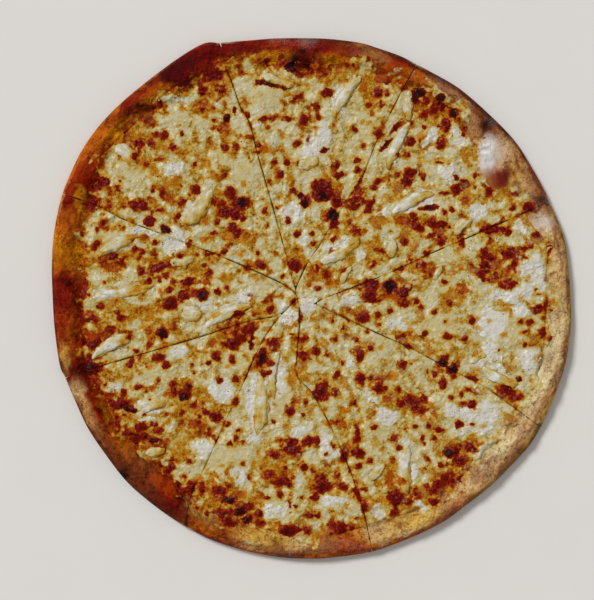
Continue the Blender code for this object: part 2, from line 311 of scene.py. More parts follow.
def humps(points, places):
    """The height that the bubbles or mounds add."""
    total = np.zeros(len(points))
    for x, y, radius, height in places:
        away = np.linalg.norm(points - spot(x, y), axis=1) / (radius * PIXEL)
        total += height * MILLIMETRE * np.where(away < 1, (1 - away**2) ** 2, 0)
    return total


def dough_height(points):
    """The upper side of the dough, as the solids have it."""
    rise = edge_and_rise(points)[1]
    crest = RIM_HEIGHT + RIM_UNEVENNESS * waves(points[:, 0], points[:, 1])
    slope = np.clip(rise / (1 - CREST_SHARE), 0, 1)
    inner = BASE_THICKNESS + (crest - BASE_THICKNESS) * (1 - np.cos(math.pi * slope)) / 2
    outward = np.clip((rise - 1 + CREST_SHARE) / CREST_SHARE, 0, 1)
    outer = EDGE_HEIGHT + (crest - EDGE_HEIGHT) * np.sqrt(1 - outward**2)
    height = np.where(outward > 0, outer, inner)
    return height + humps(points, RIM_HUMPS) * smoothstep(0, 0.25, rise) * smoothstep(0, 1 / 6, 1 - rise)


middle_height = dough_height(np.array([[0.0, 0.0]]))[0]
print(f"the dough under the cheese is {middle_height * 1000:.1f} mm thick")

# %% [markdown]
# ## What the photograph shows on the cheese
# These lists are read off the photograph, one part of the pizza after the other, apart from some
# of the patches further down. Blisters are dark round spots where the cheese bubbled and burnt: x,
# y and the size across in pixels, and for an oval one its width and bearing too. A blister can
# also be placed by a rule at random, but the eye notices at once when the large ones are
# somewhere else.

# %% Dark blisters
BLISTERS = (
    # upper left
    (155, 133, 5), (164.5, 134, 8), (173, 147, 5), (141, 143, 7), (139.5, 148, 6), (135, 157, 8, 5, -60),
    (150.5, 143, 5), (165, 113, 5, 3), (158.6, 104.5, 4), (155, 106, 3), (157, 161, 5, 2), (217.7, 74, 9),
    (206, 72, 5), (202, 89, 7), (222.7, 89.5, 5, 4), (226.8, 118.5, 9, 6, 50), (219, 129, 7, 4),
    (212, 128, 4), (214.5, 120, 5), (226, 148, 6), (237.3, 146, 8, 5, 90), (195, 164, 5), (181.4, 133.6, 5),
    (120.5, 181.4, 3), (117.7, 187, 6, 4), (99.5, 182, 10, 8), (107, 181.4, 6), (153, 190, 5),
    (161.4, 194, 8, 5, 90), (196.4, 189.5, 11, 9, 90), (183.6, 202, 7), (231, 191, 11), (213.6, 201.4, 5),
    (222, 204, 6), (242, 203, 14), (225.5, 213, 12, 10), (234.5, 216, 10), (242.7, 218.6, 8, 6, 90),
    (232.7, 227, 10, 9), (237.3, 232, 10, 7, 90), (216.8, 222.7, 5), (213.6, 233.6, 9, 5), (190.5, 240, 3),
    (223.6, 252, 7), (229, 246, 5, 3), (258, 252.7, 5), (261, 265, 11, 8), (264.5, 210.5, 7, 5, 90),
    (276.4, 207, 5, 4), (266.8, 225.5, 3),
    # top
    (247.7, 115, 6), (250, 124, 3), (262, 119, 9, 4, 10), (272, 118, 10, 4, 15), (287.7, 118.6, 8, 6),
    (303.6, 120, 12, 9, 90), (296.8, 143.6, 7), (258.6, 145, 5), (257.3, 152.7, 4), (274.5, 162, 5),
    (286.8, 162, 7), (297.7, 162, 3), (314.5, 107, 6, 4), (297, 97, 18, 4, 35), (245.5, 73.6, 7, 3),
    (256.4, 82.7, 5, 4, 90), (266, 61.4, 7), (282, 57, 7, 4), (326.8, 92.7, 12, 10), (317, 107, 6, 5),
    (318, 117, 6, 5, 90), (378, 93, 10), (387.3, 94.5, 6, 5, 90), (380, 102, 4), (355, 129.5, 7),
    (378.6, 133.6, 10, 9), (364, 146, 5), (356.8, 160.5, 9, 7), (336.4, 165, 7), (404, 87.7, 8, 4),
    (368.6, 61, 3), (280, 174, 9, 8), (292.7, 190.5, 8, 7), (304.5, 202, 12, 10, 90), (269, 181, 6, 3, 90),
    (339, 175, 11, 8), (335.5, 166, 6), (358, 169, 6), (360.5, 181, 7, 5, 90), (356.4, 187, 5),
    (323, 192, 22, 18, 80), (316, 186, 10, 8), (337, 201, 12), (332.7, 215, 13, 11), (333, 223, 10, 8, 90),
    (288, 220.5, 7), (296.4, 234.5, 8, 7), (313, 234, 6), (312.7, 244, 8, 5), (295, 266, 13, 12, 90),
    # upper right
    (433, 109, 5), (426.4, 102.7, 5), (441.4, 107, 8, 6), (423.6, 113.6, 8, 6), (424.5, 126.8, 6),
    (418.6, 141, 4), (411.4, 141.4, 9), (411.8, 123.6, 3), (440.5, 147.3, 7), (442, 141.4, 4),
    (446.8, 123.6, 8), (407.7, 155.5, 5), (398.6, 154.5, 4), (439.5, 161.8, 10, 4), (464.5, 129, 6),
    (462.7, 134.5, 5), (490, 153, 2), (378, 181, 8, 6), (373, 188, 5), (398.6, 174, 5), (409.5, 173, 10),
    (407.7, 181.4, 11, 10, 90), (423.6, 176.8, 8, 6, 90), (442.7, 193, 9, 5), (356.8, 198.6, 13, 7),
    (355.5, 207.7, 6, 4), (369.5, 206, 18, 7, 60), (356, 230.5, 9, 5), (350.5, 222.7, 4), (365, 230.5, 3),
    (332.3, 239, 6, 5), (414, 214.5, 5), (419.5, 227.7, 12, 7, -25), (433, 224, 8), (442, 224, 14, 8),
    (430.5, 235, 7), (441.4, 242, 8), (445, 212, 6), (404, 241.8, 7), (426, 252.7, 7), (411.4, 259, 6, 4),
    (382.7, 251.4, 4, 3), (372.3, 264.5, 5), (325.5, 274.5, 7, 6), (318.6, 288, 6, 4),
    (317.3, 267.7, 8, 6, 90), (344.5, 271, 4), (463.6, 179.5, 9, 3), (455.5, 177.7, 6),
    (456.8, 189, 12, 8, 90), (475.5, 176, 5), (489, 191, 9, 7, 90), (520, 184, 7, 5), (516.4, 193.6, 9, 6),
    (512, 208.6, 8, 6), (452, 209.5, 7, 6, 90), (528, 207, 12), (400, 268.6, 9, 4),
    # right
    (444, 282.3, 7, 6), (373, 285, 12), (389.5, 286, 12), (403, 292, 10), (369.5, 296, 12),
    (489.5, 229.5, 14, 6), (508, 232, 8, 7, 90), (461.4, 242, 10, 6, 90), (485, 251.4, 7, 6),
    (489, 256.8, 10, 7), (484.5, 264, 7, 6, 90), (481, 274, 8, 6), (508.6, 254.5, 10, 9),
    (513.6, 263.6, 9, 6, 90), (512.7, 284, 12, 6), (503, 285.5, 6), (524.5, 248.6, 7, 6), (531, 247, 7, 4),
    (549, 248.6, 8, 6, 90), (536.4, 234, 8, 6), (472, 265, 4), (536, 288.6, 4, 3, 90), (539.5, 295, 8, 2),
    (525.5, 257.7, 6, 3), (404, 304.5, 10, 6), (420.5, 306.4, 5), (416, 302, 6), (390, 311, 6),
    (434.5, 312.3, 6), (445.5, 321.8, 4), (425, 333.6, 7), (446.4, 335.5, 9, 7), (402.7, 335, 4),
    (472.3, 320.5, 9), (464.5, 338.6, 7, 6), (498.6, 350.5, 3), (451, 302.7, 4), (451, 336.4, 6),
    (520, 321.8, 6), (530, 321.8, 9, 5), (524.5, 331.8, 6, 4), (539, 308, 12, 8, 55),
    (545.5, 305.5, 8, 3, 90), (542.7, 331.8, 10, 7, 90), (551.4, 339, 5), (551, 329, 4), (524.5, 344, 5),
    (543, 318, 3), (550.5, 310.5, 4, 2), (568.6, 318.6, 3), (445.5, 358, 7), (442, 363, 9, 7),
    (449, 369, 9, 6, -40), (452.7, 369, 10, 8), (545.5, 367.7, 7, 4), (557.7, 365.5, 3),
    (508, 390, 20, 8, -18), (517, 398, 8, 4), (519.5, 379, 4),
    # lower right
    (362.7, 318, 13, 10), (378, 314.5, 8, 5, 90), (379.5, 324.5, 5), (333.6, 320.5, 4), (343, 328, 6, 4, 90),
    (367.7, 331.8, 4), (334.5, 339.5, 6), (356.8, 339.5, 5), (370, 348, 6), (360, 357.3, 11, 8, 90),
    (316.4, 351.8, 10, 7, 90), (326, 354.5, 4), (341.8, 362.7, 6, 4, 90), (337.3, 373.6, 8, 6, 90),
    (360.5, 379, 12, 10, 90), (370, 377.3, 4), (403, 364.5, 9, 8), (377.7, 388, 15, 7, 90), (385.5, 387.7, 6),
    (335.5, 392.7, 6, 5, 90), (320.5, 391.8, 14, 12, 90), (325, 384.5, 6), (326.8, 398, 5), (354, 403.6, 6),
    (336.4, 422.3, 4), (357.7, 431, 10, 8, 90), (373.6, 427.3, 6, 5), (408, 346.4, 6), (398, 390, 6, 4, 90),
    (401.8, 404, 7, 6, 90), (409.5, 399, 10, 7), (416, 405.5, 10, 6, 90), (421.4, 411, 10, 6), (425, 399, 5),
    (415.5, 426.4, 6), (428.6, 426, 5), (439.5, 430, 9, 5), (405, 428.6, 3), (427.3, 371, 5, 3, 90),
    (435, 375, 6), (442.7, 384.5, 11, 8, 90), (454, 377.7, 4), (461, 394.5, 6), (468, 389.5, 7, 5),
    (451.8, 398, 5), (471.4, 404.5, 10, 9), (462.7, 403.6, 6, 4), (459.5, 424, 11, 9), (472.3, 424.5, 7, 4),
    (358, 438.5, 10, 8, 90), (359.5, 453, 12, 9), (392.7, 438, 7, 6), (399.5, 448.6, 8, 7), (424, 444, 4),
    (434, 437.7, 6, 5), (422.7, 437.7, 8, 5, 90), (370.5, 460.5, 5), (358.6, 466.4, 8, 7), (393, 459, 4),
    (428, 458.6, 5, 4, 90), (441, 465.5, 8, 6), (448.6, 453, 9), (356.8, 493, 18, 6, 105),
    (364, 506.8, 9, 8, 90), (364.5, 489, 5), (395, 497.7, 14, 12), (409.5, 502, 6), (433.6, 491.4, 8, 6),
    (434, 503, 10, 8), (415, 488.6, 4), (427.7, 486, 4), (437.7, 484, 7), (446.8, 478.6, 9),
    (418.6, 496, 5, 4), (394, 513, 10, 6), (469.5, 448, 6), (454, 451.4, 11, 10, 90), (460, 461.4, 9, 8),
    (473, 471.4, 7, 5), (461.8, 480.5, 6), (451.4, 478.6, 8, 4, 90), (501.8, 453.6, 5, 3),
    (488, 461.4, 4, 3, 90), (473.6, 378, 12, 5, -25),
    # bottom
    (233.6, 344.5, 13, 11), (234.5, 333.6, 4), (243.6, 339, 8, 4), (250, 331, 10, 7), (251, 342.7, 8, 3, 90),
    (274.5, 341.8, 10, 8), (274, 350, 4), (262, 358, 14, 7, 80), (271, 363.6, 7, 6),
    (266.4, 373.6, 12, 6, 20), (302.7, 353.6, 9, 7), (303.6, 339, 10, 4), (301.8, 318, 5, 3, 90),
    (290, 333.6, 3), (290, 411, 9, 8, 90), (303, 415, 6), (292.7, 401.8, 3), (306, 402.7, 4), (273, 422, 5),
    (238, 430, 5), (227.3, 424.5, 6, 5), (229.5, 444, 8, 6), (242.7, 441.8, 3), (215.5, 440, 6, 4, 90),
    (236, 437.7, 8, 5, 90), (243.6, 464, 4), (290, 442, 13, 8), (292.7, 450.5, 15, 9), (309, 440.5, 12, 9),
    (274, 454, 11, 6, -25), (286, 467, 5), (304, 467, 9, 8, 90), (282.3, 482, 17, 7), (268.6, 475, 9, 6),
    (312.3, 470, 4), (201, 487.7, 7, 5, 90), (221, 491.4, 12, 8), (227.3, 486, 5), (229.5, 500.5, 10, 7),
    (267.3, 497.3, 8, 4), (279.5, 496, 6), (301.8, 497.3, 4), (312.3, 497.3, 8, 5), (240, 511, 10, 8),
    (247, 520, 9, 8), (250, 507, 8, 5), (220, 513, 10, 5), (231, 523, 13, 7), (259, 514, 7, 6),
    (260.5, 522.3, 7, 5), (206.4, 515, 5), (201, 517.7, 4), (295.5, 506.8, 5), (290, 504, 10, 3, 90),
    (289, 531, 20, 12), (310, 516, 9, 6), (307, 531, 6), (316.4, 440.5, 12, 6, 90), (344, 456.8, 13, 8, 90),
    (350, 470.5, 6, 3, 90), (333, 446.8, 4), (326, 454.5, 4), (339, 474, 5), (322.7, 487.7, 16, 13),
    (321.8, 477.7, 8, 5), (344, 487.7, 7, 6), (316, 497, 9, 8, 90), (331.8, 510.5, 3), (316.8, 516, 6),
    (341.4, 529.5, 14, 10, 90), (356, 518.6, 5, 3), (332.3, 524, 7, 5), (198, 508, 5, 4),
    # lower left
    (216.4, 357.3, 10, 8), (208, 362.7, 5), (191.8, 364.5, 4), (201.8, 363.6, 3), (232.7, 359, 9, 7, 90),
    (219.5, 380, 7), (235.5, 379, 8, 7, 90), (236.4, 401, 9, 6, 90), (185.5, 394.5, 9, 8), (193.6, 404.5, 5),
    (205.5, 411.8, 6), (216.4, 417.3, 10, 9), (198.6, 421, 4), (181.8, 413, 4), (199, 415.5, 4),
    (208, 432.7, 6, 5, 90), (174, 392.7, 5), (160, 358, 10, 9), (166, 365, 9, 8), (157.7, 380.5, 3),
    (172.3, 383.6, 7, 6), (138.6, 387.3, 10, 5), (124, 393.6, 10, 7, 90), (105, 384.5, 5), (97.7, 388.6, 4),
    (84, 369, 9, 6), (92, 368, 10, 7), (100, 367, 6), (86.8, 381, 9, 4), (88.6, 388, 7, 5),
    (117, 404.5, 14, 7), (126, 408, 9, 6, -20), (133, 410, 5, 3), (117.7, 422.7, 9, 4, 90), (127, 431.8, 5),
    (141.4, 427, 9), (159.5, 430, 9, 5), (145, 414.5, 4), (155, 424.5, 6, 4), (155, 441, 7, 4), (135, 440, 8),
    (142, 436, 6), (189, 462, 6, 5), (184, 477, 5), (191, 485, 8, 5, 90), (185.5, 490.5, 10, 4),
    (130.5, 362.7, 10, 6, 80), (139.5, 359, 4), (170, 468, 14, 7, 60), (177, 487, 5), (195, 372, 3),
    (150, 399, 3), (165, 414, 3),
    # left
    (132.7, 205, 6), (143, 205.5, 8), (85.5, 205, 7), (93.6, 204, 9, 5, 90), (149, 221.4, 12),
    (165.5, 229.5, 12, 7, -30), (178, 216, 6), (123.6, 227.7, 5), (97.7, 229, 5), (106.8, 230, 3),
    (83, 235, 4), (96, 245, 12, 6, 70), (103, 221, 4), (112.7, 256, 6), (121, 262.7, 6), (103, 263, 5),
    (134.5, 247.7, 6, 5), (141.4, 252, 4), (154, 254.5, 5), (156, 242, 5), (141.4, 271.4, 8, 5, 90),
    (148.6, 280.5, 6), (159, 280.5, 5), (166, 276, 5), (172, 282, 7, 6), (169.5, 289.5, 7), (174, 263, 3),
    (179.5, 256, 5), (160, 268, 16, 7, 15), (217.3, 291.4, 7), (227, 287, 5), (202, 295, 14), (189, 281, 10),
    (183, 296, 8), (208, 273, 8, 5), (246, 267.7, 6), (282.7, 276.4, 5), (170.5, 304.5, 14),
    (119.5, 317.7, 8, 5), (110, 330, 6, 5), (101.4, 306.4, 4), (116.8, 313.6, 3), (93, 319, 7, 3),
    (96.8, 342.7, 8, 7), (82.3, 341.8, 6), (80, 310, 6, 4, 90), (130.5, 337.7, 5), (125, 331.8, 6, 2),
    (162.3, 334, 12, 9, 90), (148.6, 346.4, 9, 3, 60), (136, 351.8, 5), (271, 309, 10, 7),
    (238, 313.6, 10, 8), (293.6, 302, 7, 6, 90), (214, 253.5, 9, 2), (84, 282, 4), (89, 295, 4),
    (104, 283, 3),
)
print(len(BLISTERS), "blisters")

# %% [markdown]
# ## Charred and amber spots
# Some blisters are almost black, and a few scraps of herb and char lie in dark folds. They are
# listed again here, so that the finish can darken them further. Amber spots are the opposite:
# blisters that have only begun to brown.

# %% Charred spots and amber spots
CHARRED = (
    (234.5, 111, 6, 4, 90), (226.8, 118.5, 9, 6, 50), (165.5, 229.5, 11, 6, -30), (332.7, 215, 11, 9),
    (323, 196, 8, 7), (389.5, 81.8, 3), (386, 83, 5, 2, -30), (418.6, 92.7, 14, 9), (414, 99, 7),
    (454, 113.6, 9), (440.5, 98, 7), (162.3, 334, 10, 7, 90), (84, 369, 9, 5), (92, 367, 8, 5),
    (126, 408, 9, 5, -20), (134, 411, 6, 3, -20), (262, 358, 12, 6, 80), (229.5, 500.5, 9, 6),
    (452.7, 369, 10, 7, -30), (443, 363, 8, 6, -30), (389.5, 286, 10), (448.6, 453, 7), (292.7, 66.4, 14, 12),
    (302, 52, 8), (307, 62, 7), (300, 196, 6), (304.5, 203, 8, 6, 90), (270, 84, 22, 6, -14), (262, 82, 5),
    (283, 88, 6, 4), (155, 441, 8, 4), (430, 207.5, 17, 4, 8), (519.5, 379, 4), (395, 128, 12, 3, 45),
    (386, 145, 13, 4, 50), (177, 487, 5, 4), (188, 522, 3, 8), (240, 512, 10, 7), (246, 520, 8, 5),
    (242, 203, 8), (202, 295, 8), (118, 476, 12, 9, -45), (324.5, 150, 7, 5, 20), (189, 387, 6, 5),
    (183, 397, 8, 6), (251, 343, 8, 3, 90), (542.7, 201.4, 12, 6, -20), (540, 432, 8, 6, 60),
    (69.5, 282.5, 6, 4),
)
AMBER_SPOTS = (
    (223.6, 103.6, 5), (207.3, 140.5, 4), (182, 109, 5), (245, 137, 11, 3), (301.4, 134.5, 5),
    (284.5, 149, 8, 4), (307.3, 84.5, 9, 4), (317.7, 129, 4), (372.7, 113.6, 5), (361.8, 122, 4),
    (369.5, 123.6, 4), (377, 140.5, 4), (421, 136, 9, 7), (454.5, 147, 5), (220, 177, 6), (243.6, 184, 5),
    (204.5, 240.5, 7, 5), (238.6, 253.6, 9, 4), (228, 262.7, 5), (276.4, 253.6, 5), (291.8, 212, 3),
    (254.5, 233, 4), (206, 282, 6), (358, 218.6, 7, 6), (402, 220.5, 15, 6), (366.8, 257.7, 4),
    (331.4, 284.5, 14, 7), (392, 298, 16, 8), (466, 218.6, 5), (464.5, 201.4, 6), (491.4, 241.4, 4),
    (517.7, 273, 6), (528, 275, 4), (461.4, 266.8, 7, 6, 90), (461.4, 288.6, 11, 9), (521, 297, 4),
    (160.5, 309, 9), (107.7, 334.5, 8), (148, 331.4, 5), (149.5, 367, 8, 6), (216, 315.5, 10, 4, 20),
    (213.6, 342.7, 8, 6), (201.8, 351.4, 7, 4), (227.7, 366.8, 4), (205.5, 377.7, 3), (267, 329, 10, 6),
    (256.4, 324.5, 6), (311, 320.5, 4), (298, 401.8, 3), (307.3, 392.7, 6), (192.7, 423.6, 8),
    (410, 331, 8, 4, 90), (426.4, 345.5, 6), (320.5, 316.4, 6), (366, 352.7, 5), (381, 347.3, 5),
    (344.5, 410.5, 8, 6), (327.7, 422.7, 12, 5), (343, 423.6, 7), (376, 411.8, 5), (367.3, 419, 4),
    (393, 376.4, 10), (387.7, 399, 7, 3), (423.6, 417.3, 6), (434, 416.4, 8), (439, 362, 8), (432, 391.4, 4),
    (478.6, 317.3, 4), (489.5, 321, 4), (476.4, 328, 7, 4), (481.4, 350, 4), (477.3, 355.5, 10, 4),
    (457.3, 363.6, 7, 4, 90), (476, 410.5, 6, 4), (483, 426.4, 7, 4), (531.8, 347, 6, 3), (504, 335, 8, 5),
    (531.8, 380.5, 4), (514.5, 406.4, 6, 4, 90), (221, 466, 5, 3), (226.4, 472, 4), (198.6, 477, 8, 6),
    (259, 453, 9, 5, 90), (213.6, 484, 7, 5, 90), (242.7, 494, 12, 7, 90), (259, 498.6, 12, 8, 90),
    (365, 463, 6, 3), (337.3, 469.5, 7, 5), (382, 449.5, 4), (336.4, 486, 6, 3), (389.5, 479.5, 16, 8, 90),
    (400, 481, 11, 9), (361.4, 534, 12, 9), (346.8, 505, 5), (464.5, 444, 8, 6), (479, 444, 8, 4),
    (458, 502, 12, 8), (166, 394.5, 7), (168, 442, 6), (115, 268, 20, 8, 10), (103, 256, 12, 8),
)
print(len(CHARRED), "charred spots and", len(AMBER_SPOTS), "amber ones")

# %% [markdown]
# ## Patches of colour
# White patches are thick and pale, smooth ones melted evenly, oil stands in the ochre ones and the
# heat has caught the browned ones. Bare patches are bubbles of dough that no cheese covers. They
# overlap freely, because the finish adds up what they say. The first ones were read off the
# photograph. Others were added, moved or resized by hand later, in those cells of 30 pixels whose
# mean colour differed most between a render and the photograph, so some of them lie at the middle
# of such a cell.

# %% Patches of colour
WHITE_PATCHES = (
    (191, 209, 44, 16, 50), (176, 170, 26, 18, 70), (174, 98, 46, 9, 4), (216, 103, 18, 12, 60),
    (255, 122, 15, 9, -50), (312, 148, 30, 20, 80), (323, 134, 26, 18, 60), (174, 243, 26, 34, 20),
    (142, 228, 34, 12, 8), (203, 301, 24, 16), (292, 214, 24, 26, 40), (342, 97, 52, 13, 57),
    (431, 133, 34, 10, 60), (460, 140, 22, 26, 30), (450, 174, 18, 26, 80), (487, 157, 20, 42, 10),
    (417, 201, 54, 20, 25), (382, 215, 20, 12, 20), (392, 247, 12, 20), (476, 212, 22, 18, 20),
    (521, 228, 22, 14, -20), (340, 245, 40, 12, 32), (304, 240, 14, 18), (362, 256, 12, 18),
    (528, 267, 28, 26, 20), (512, 295, 54, 18, 12), (492, 322, 34), (493, 351, 20, 26, 20),
    (530, 361, 26, 24, 30), (520, 310, 22, 18), (245, 296, 26, 12, 10), (285, 317, 24, 26, 20),
    (224, 308, 26, 8, 30), (192, 314, 19, 14), (180, 352, 24, 16, 10), (221, 391, 26, 24),
    (112, 388, 24, 16, -20), (145, 420, 22, 9), (257, 404, 26, 74, 2), (279, 378, 12, 44), (252, 438, 14, 12),
    (238, 476, 18, 16), (274, 512, 24, 18), (310, 305, 20, 16), (350, 360, 12, 16), (386, 418, 24, 24, 30),
    (406, 466, 16, 54), (378, 472, 18, 12, 45), (476, 420, 54, 34, 25), (480, 452, 24, 18, 20),
    (450, 410, 18, 20), (377, 512, 18), (420, 506, 14, 10), (335, 500, 40, 14), (112, 296, 44, 9, 8),
    (118, 246, 34, 9, 25), (112, 344, 36, 9, 28), (399, 148, 12, 44, -24), (150, 407, 26, 14, 15),
    (500, 372, 30, 9, -22), (482, 362, 18, 8, 30), (540, 283, 14, 44, 8), (290, 505, 20, 12),
    (300, 430, 26, 14, 20), (325, 440, 14, 16), (205, 450, 22, 16), (350, 300, 24, 12),
    (395, 325, 26, 12, -20), (330, 455, 22, 16), (372, 400, 16, 14),
)
SMOOTH_PATCHES = (
    (190, 117, 50, 24), (265, 95, 52, 24, 10), (138, 172, 44, 16, 5), (222, 158, 34, 24),
    (370, 128, 26, 40, 20), (125, 158, 30, 26, -40), (243, 175, 24, 34), (240, 360, 16, 24, 20),
    (350, 320, 44, 12), (440, 325, 40, 26), (280, 400, 18, 46), (230, 460, 40, 30), (120, 235, 40, 24),
    (395, 225, 30, 14), (505, 325, 44, 40), (262, 284, 26, 22), (146, 376, 28, 18, 15),
    (446, 256, 26, 18, 20), (236, 226, 20, 10), (386, 344, 26, 20), (415, 164, 22, 20),
    (446, 284, 26, 20, 20), (354, 196, 16, 18), (384, 434, 22, 18), (326, 404, 20, 14), (505, 254, 18),
    (176, 346, 22, 16),
)
OCHRE_PATCHES = (
    (136, 128, 48, 36, -40), (160, 140, 40, 20), (196, 150, 60, 14), (230, 140, 18, 44, 20),
    (170, 185, 30, 24), (222, 80, 36, 22), (222, 208, 44, 28, 20), (180, 265, 60, 40), (222, 274, 30, 18),
    (118, 262, 46, 18), (120, 318, 60, 44), (240, 240, 30, 20), (328, 68, 60, 12), (328, 188, 36, 30),
    (372, 95, 24, 40), (440, 115, 60, 34, -30), (472, 150, 26, 46, 30), (424, 160, 20, 12),
    (400, 218, 60, 22, 10), (345, 235, 30, 26), (372, 250, 70, 30, 10), (470, 232, 50, 14, 20),
    (425, 270, 24, 14, 20), (330, 278, 40, 16), (505, 225, 60, 16, 22), (498, 262, 46, 48, 10),
    (454, 296, 32, 30), (400, 297, 38, 18, -10), (534, 345, 16, 40), (405, 335, 30, 12, -20),
    (440, 350, 40, 20, -25), (510, 392, 30, 14, -20), (326, 390, 26), (392, 398, 30), (415, 405, 34, 26),
    (350, 415, 28), (350, 445, 28, 26), (465, 450, 50, 30, 30), (440, 485, 60, 30, 30),
    (392, 490, 40, 50, 20), (345, 530, 60, 22, 10), (320, 485, 60, 30), (240, 510, 80, 40, -12),
    (290, 530, 40, 16), (220, 480, 40, 30), (275, 470, 60, 40), (235, 335, 60, 26, 20), (260, 355, 30, 40),
    (150, 365, 30, 16, 20), (110, 375, 60, 18, 15), (140, 435, 60, 30, -40), (190, 400, 40, 50),
    (205, 425, 40, 30), (200, 350, 60, 16, 15), (105, 405, 22, 44, 30), (300, 345, 24, 50),
    (180, 450, 30, 40), (160, 335, 40, 30), (205, 105, 34, 30), (325, 76, 36, 20), (146, 166, 36, 28),
    (112, 200, 30, 34), (112, 224, 34, 16), (505, 312, 24), (294, 256, 30), (354, 314, 34, 20),
    (296, 372, 28), (476, 194, 34, 26), (414, 226, 34, 26), (176, 192, 34, 26), (386, 284, 34, 26),
    (266, 314, 30, 24), (204, 166, 28, 20), (146, 254, 30, 24), (354, 494, 30, 18), (146, 312, 28, 18),
    (506, 194, 24, 16), (386, 194, 24, 18), (354, 286, 20, 16),
)
BROWNED_PATCHES = (
    (242, 205, 22, 26), (226, 212, 18, 16), (235, 230, 10, 14), (323, 191, 28, 24), (340, 206, 18, 14),
    (333, 220, 14, 20), (442, 112, 44, 26, -35), (420, 96, 26, 16, -30), (460, 190, 24),
    (446, 229, 44, 16, -20), (497, 225, 46, 12, 22), (388, 289, 70, 22, -8), (432, 268, 26, 18),
    (498, 262, 50, 40), (510, 284, 24, 8), (118, 258, 36, 16), (157, 270, 40, 16, 10), (196, 290, 44, 22, 10),
    (272, 294, 12, 10), (240, 332, 36, 24), (263, 357, 16, 24), (232, 343, 22, 20), (145, 436, 44, 26, -30),
    (184, 392, 16, 24, 20), (236, 514, 36, 28), (228, 497, 30, 16), (118, 405, 34, 14), (88, 374, 28, 20),
    (321, 391, 18, 20), (415, 404, 18, 12, -25), (447, 367, 26, 16, -28), (508, 391, 26, 10, -20),
    (463, 455, 40, 24, 30), (446, 479, 30, 20, 30), (400, 497, 34, 22), (344, 530, 26, 22),
    (327, 488, 40, 16), (281, 480, 24, 12), (295, 446, 36, 20), (288, 531, 30, 14), (538, 308, 16, 20, 30),
    (170, 304, 18), (160, 360, 12), (94, 343, 20, 16), (275, 83, 34, 14, -15), (300, 60, 36, 30),
    (212, 90, 30), (150, 107, 30, 14, -10), (100, 182, 22, 14), (78, 282, 16, 60), (438, 226, 30, 14),
    (372, 296, 24, 20), (358, 200, 24, 14, 20), (145, 205, 60, 14), (98, 205, 26, 14), (378, 385, 16),
    (357, 357, 16), (246, 138, 20, 8), (410, 178, 18, 26), (130, 150, 20, 26, -30), (270, 119, 30, 8, 8),
    (350, 450, 22, 18), (275, 342, 22, 16), (203, 490, 40, 14), (205, 106, 24, 20), (444, 136, 24, 20),
    (322, 72, 26, 14), (350, 312, 16, 12), (412, 222, 22, 14), (503, 224, 24, 14, 20), (116, 192, 20, 16),
)
BARE_PATCHES = ((491, 158, 42, 25, 82), (498, 178, 24, 22, 0), (547, 222, 20, 14, 0), (119, 464, 16, 10, -45))
print("white patches:", len(WHITE_PATCHES), "oily:", len(OCHRE_PATCHES), "browned:", len(BROWNED_PATCHES))

# %% [markdown]
# ## The relief of the rim
# Baked dough has crags of a few millimetres, pores, creases and many small bubbles. They are random
# fields at several sizes, added to the height of the solid. Where a large bubble has stretched
# the dough, it stays smooth. What would stand above the solid's own highest point is squeezed
# down, so that the pizza keeps its measured thickness.

# %% The upper side of the crust
CRAG, CRAG_SIZE = 0.0006, 0.009  # height, and size across
PORE, PORE_SIZE = 0.00036, 0.0026
GRIT, GRIT_SIZE = 0.00014, 0.0012
CREASE, CREASE_SIZE = 0.0004, 0.024
LIMIT_START = 0.0126
LIMIT_ROOM = 0.0009
BUMP_COUNT = 150
BUMP_STEEPNESS = 0.22
bump_draw = np.random.default_rng(12)
bump_bearings = bump_draw.uniform(-math.pi, math.pi, BUMP_COUNT)
bump_share = bump_draw.uniform(0.15, 0.75, BUMP_COUNT)
bump_sizes = bump_draw.uniform(0.0014, 0.0042, BUMP_COUNT)


def dough_bumps(points):
    """Small bubbles along the rim, placed at random."""
    total = np.zeros(len(points))
    for bearing, share, size in zip(bump_bearings, bump_share, bump_sizes):
        radius = np.interp(bearing, ring_bearing, ring_radius, period=2 * math.pi)
        width = np.interp(bearing, ring_bearing, ring_width, period=2 * math.pi)
        centre = middle + (radius - width * share) * np.array([math.cos(bearing), math.sin(bearing)])
        away = np.linalg.norm(points - centre, axis=1) / size
        total += np.where(away < 1, (1 - away**2) ** 2, 0) * size * BUMP_STEEPNESS
    return total


def stretched(points):
    """1 where a bubble has stretched the dough smooth."""
    return smoothstep(-1.5, 2.0, depth_in(points, BARE_PATCHES))


def under_limit(heights):
    """Heights above a limit are squeezed together, so that the rim's box stays that of its solid."""
    above = np.clip(heights - LIMIT_START, 0, None)
    return np.minimum(heights, LIMIT_START) + LIMIT_ROOM * (1 - np.exp(-above / LIMIT_ROOM))


def crust_height(points):
    """The upper side of the dough in full detail."""
    from_edge, rise = edge_and_rise(points)
    crags = CRAG * uneven(points, CRAG_SIZE, 2, 41) + PORE * uneven(points, PORE_SIZE, 2, 42)
    crags += GRIT * uneven(points, GRIT_SIZE, 1, 43)
    folds = uneven(wobble(points, 0.012, 0.002, 47), CREASE_SIZE, 1, 48)
    creases = -CREASE * smoothstep(0.6, 1.0, 1 - abs(folds) * 1.5)
    shown = smoothstep(0.02, 0.2, rise) * smoothstep(0, 0.0035, from_edge)
    relief = (crags + creases + dough_bumps(points)) * (1 - 0.75 * stretched(points))
    return under_limit(dough_height(points) + relief * shown)


sample = spot(311.5, 298.5)[None] + np.random.default_rng(1).uniform(-0.19, 0.19, (4000, 2))
print(f"the highest place on the rim is {crust_height(sample).max() * 1000:.1f} mm up")

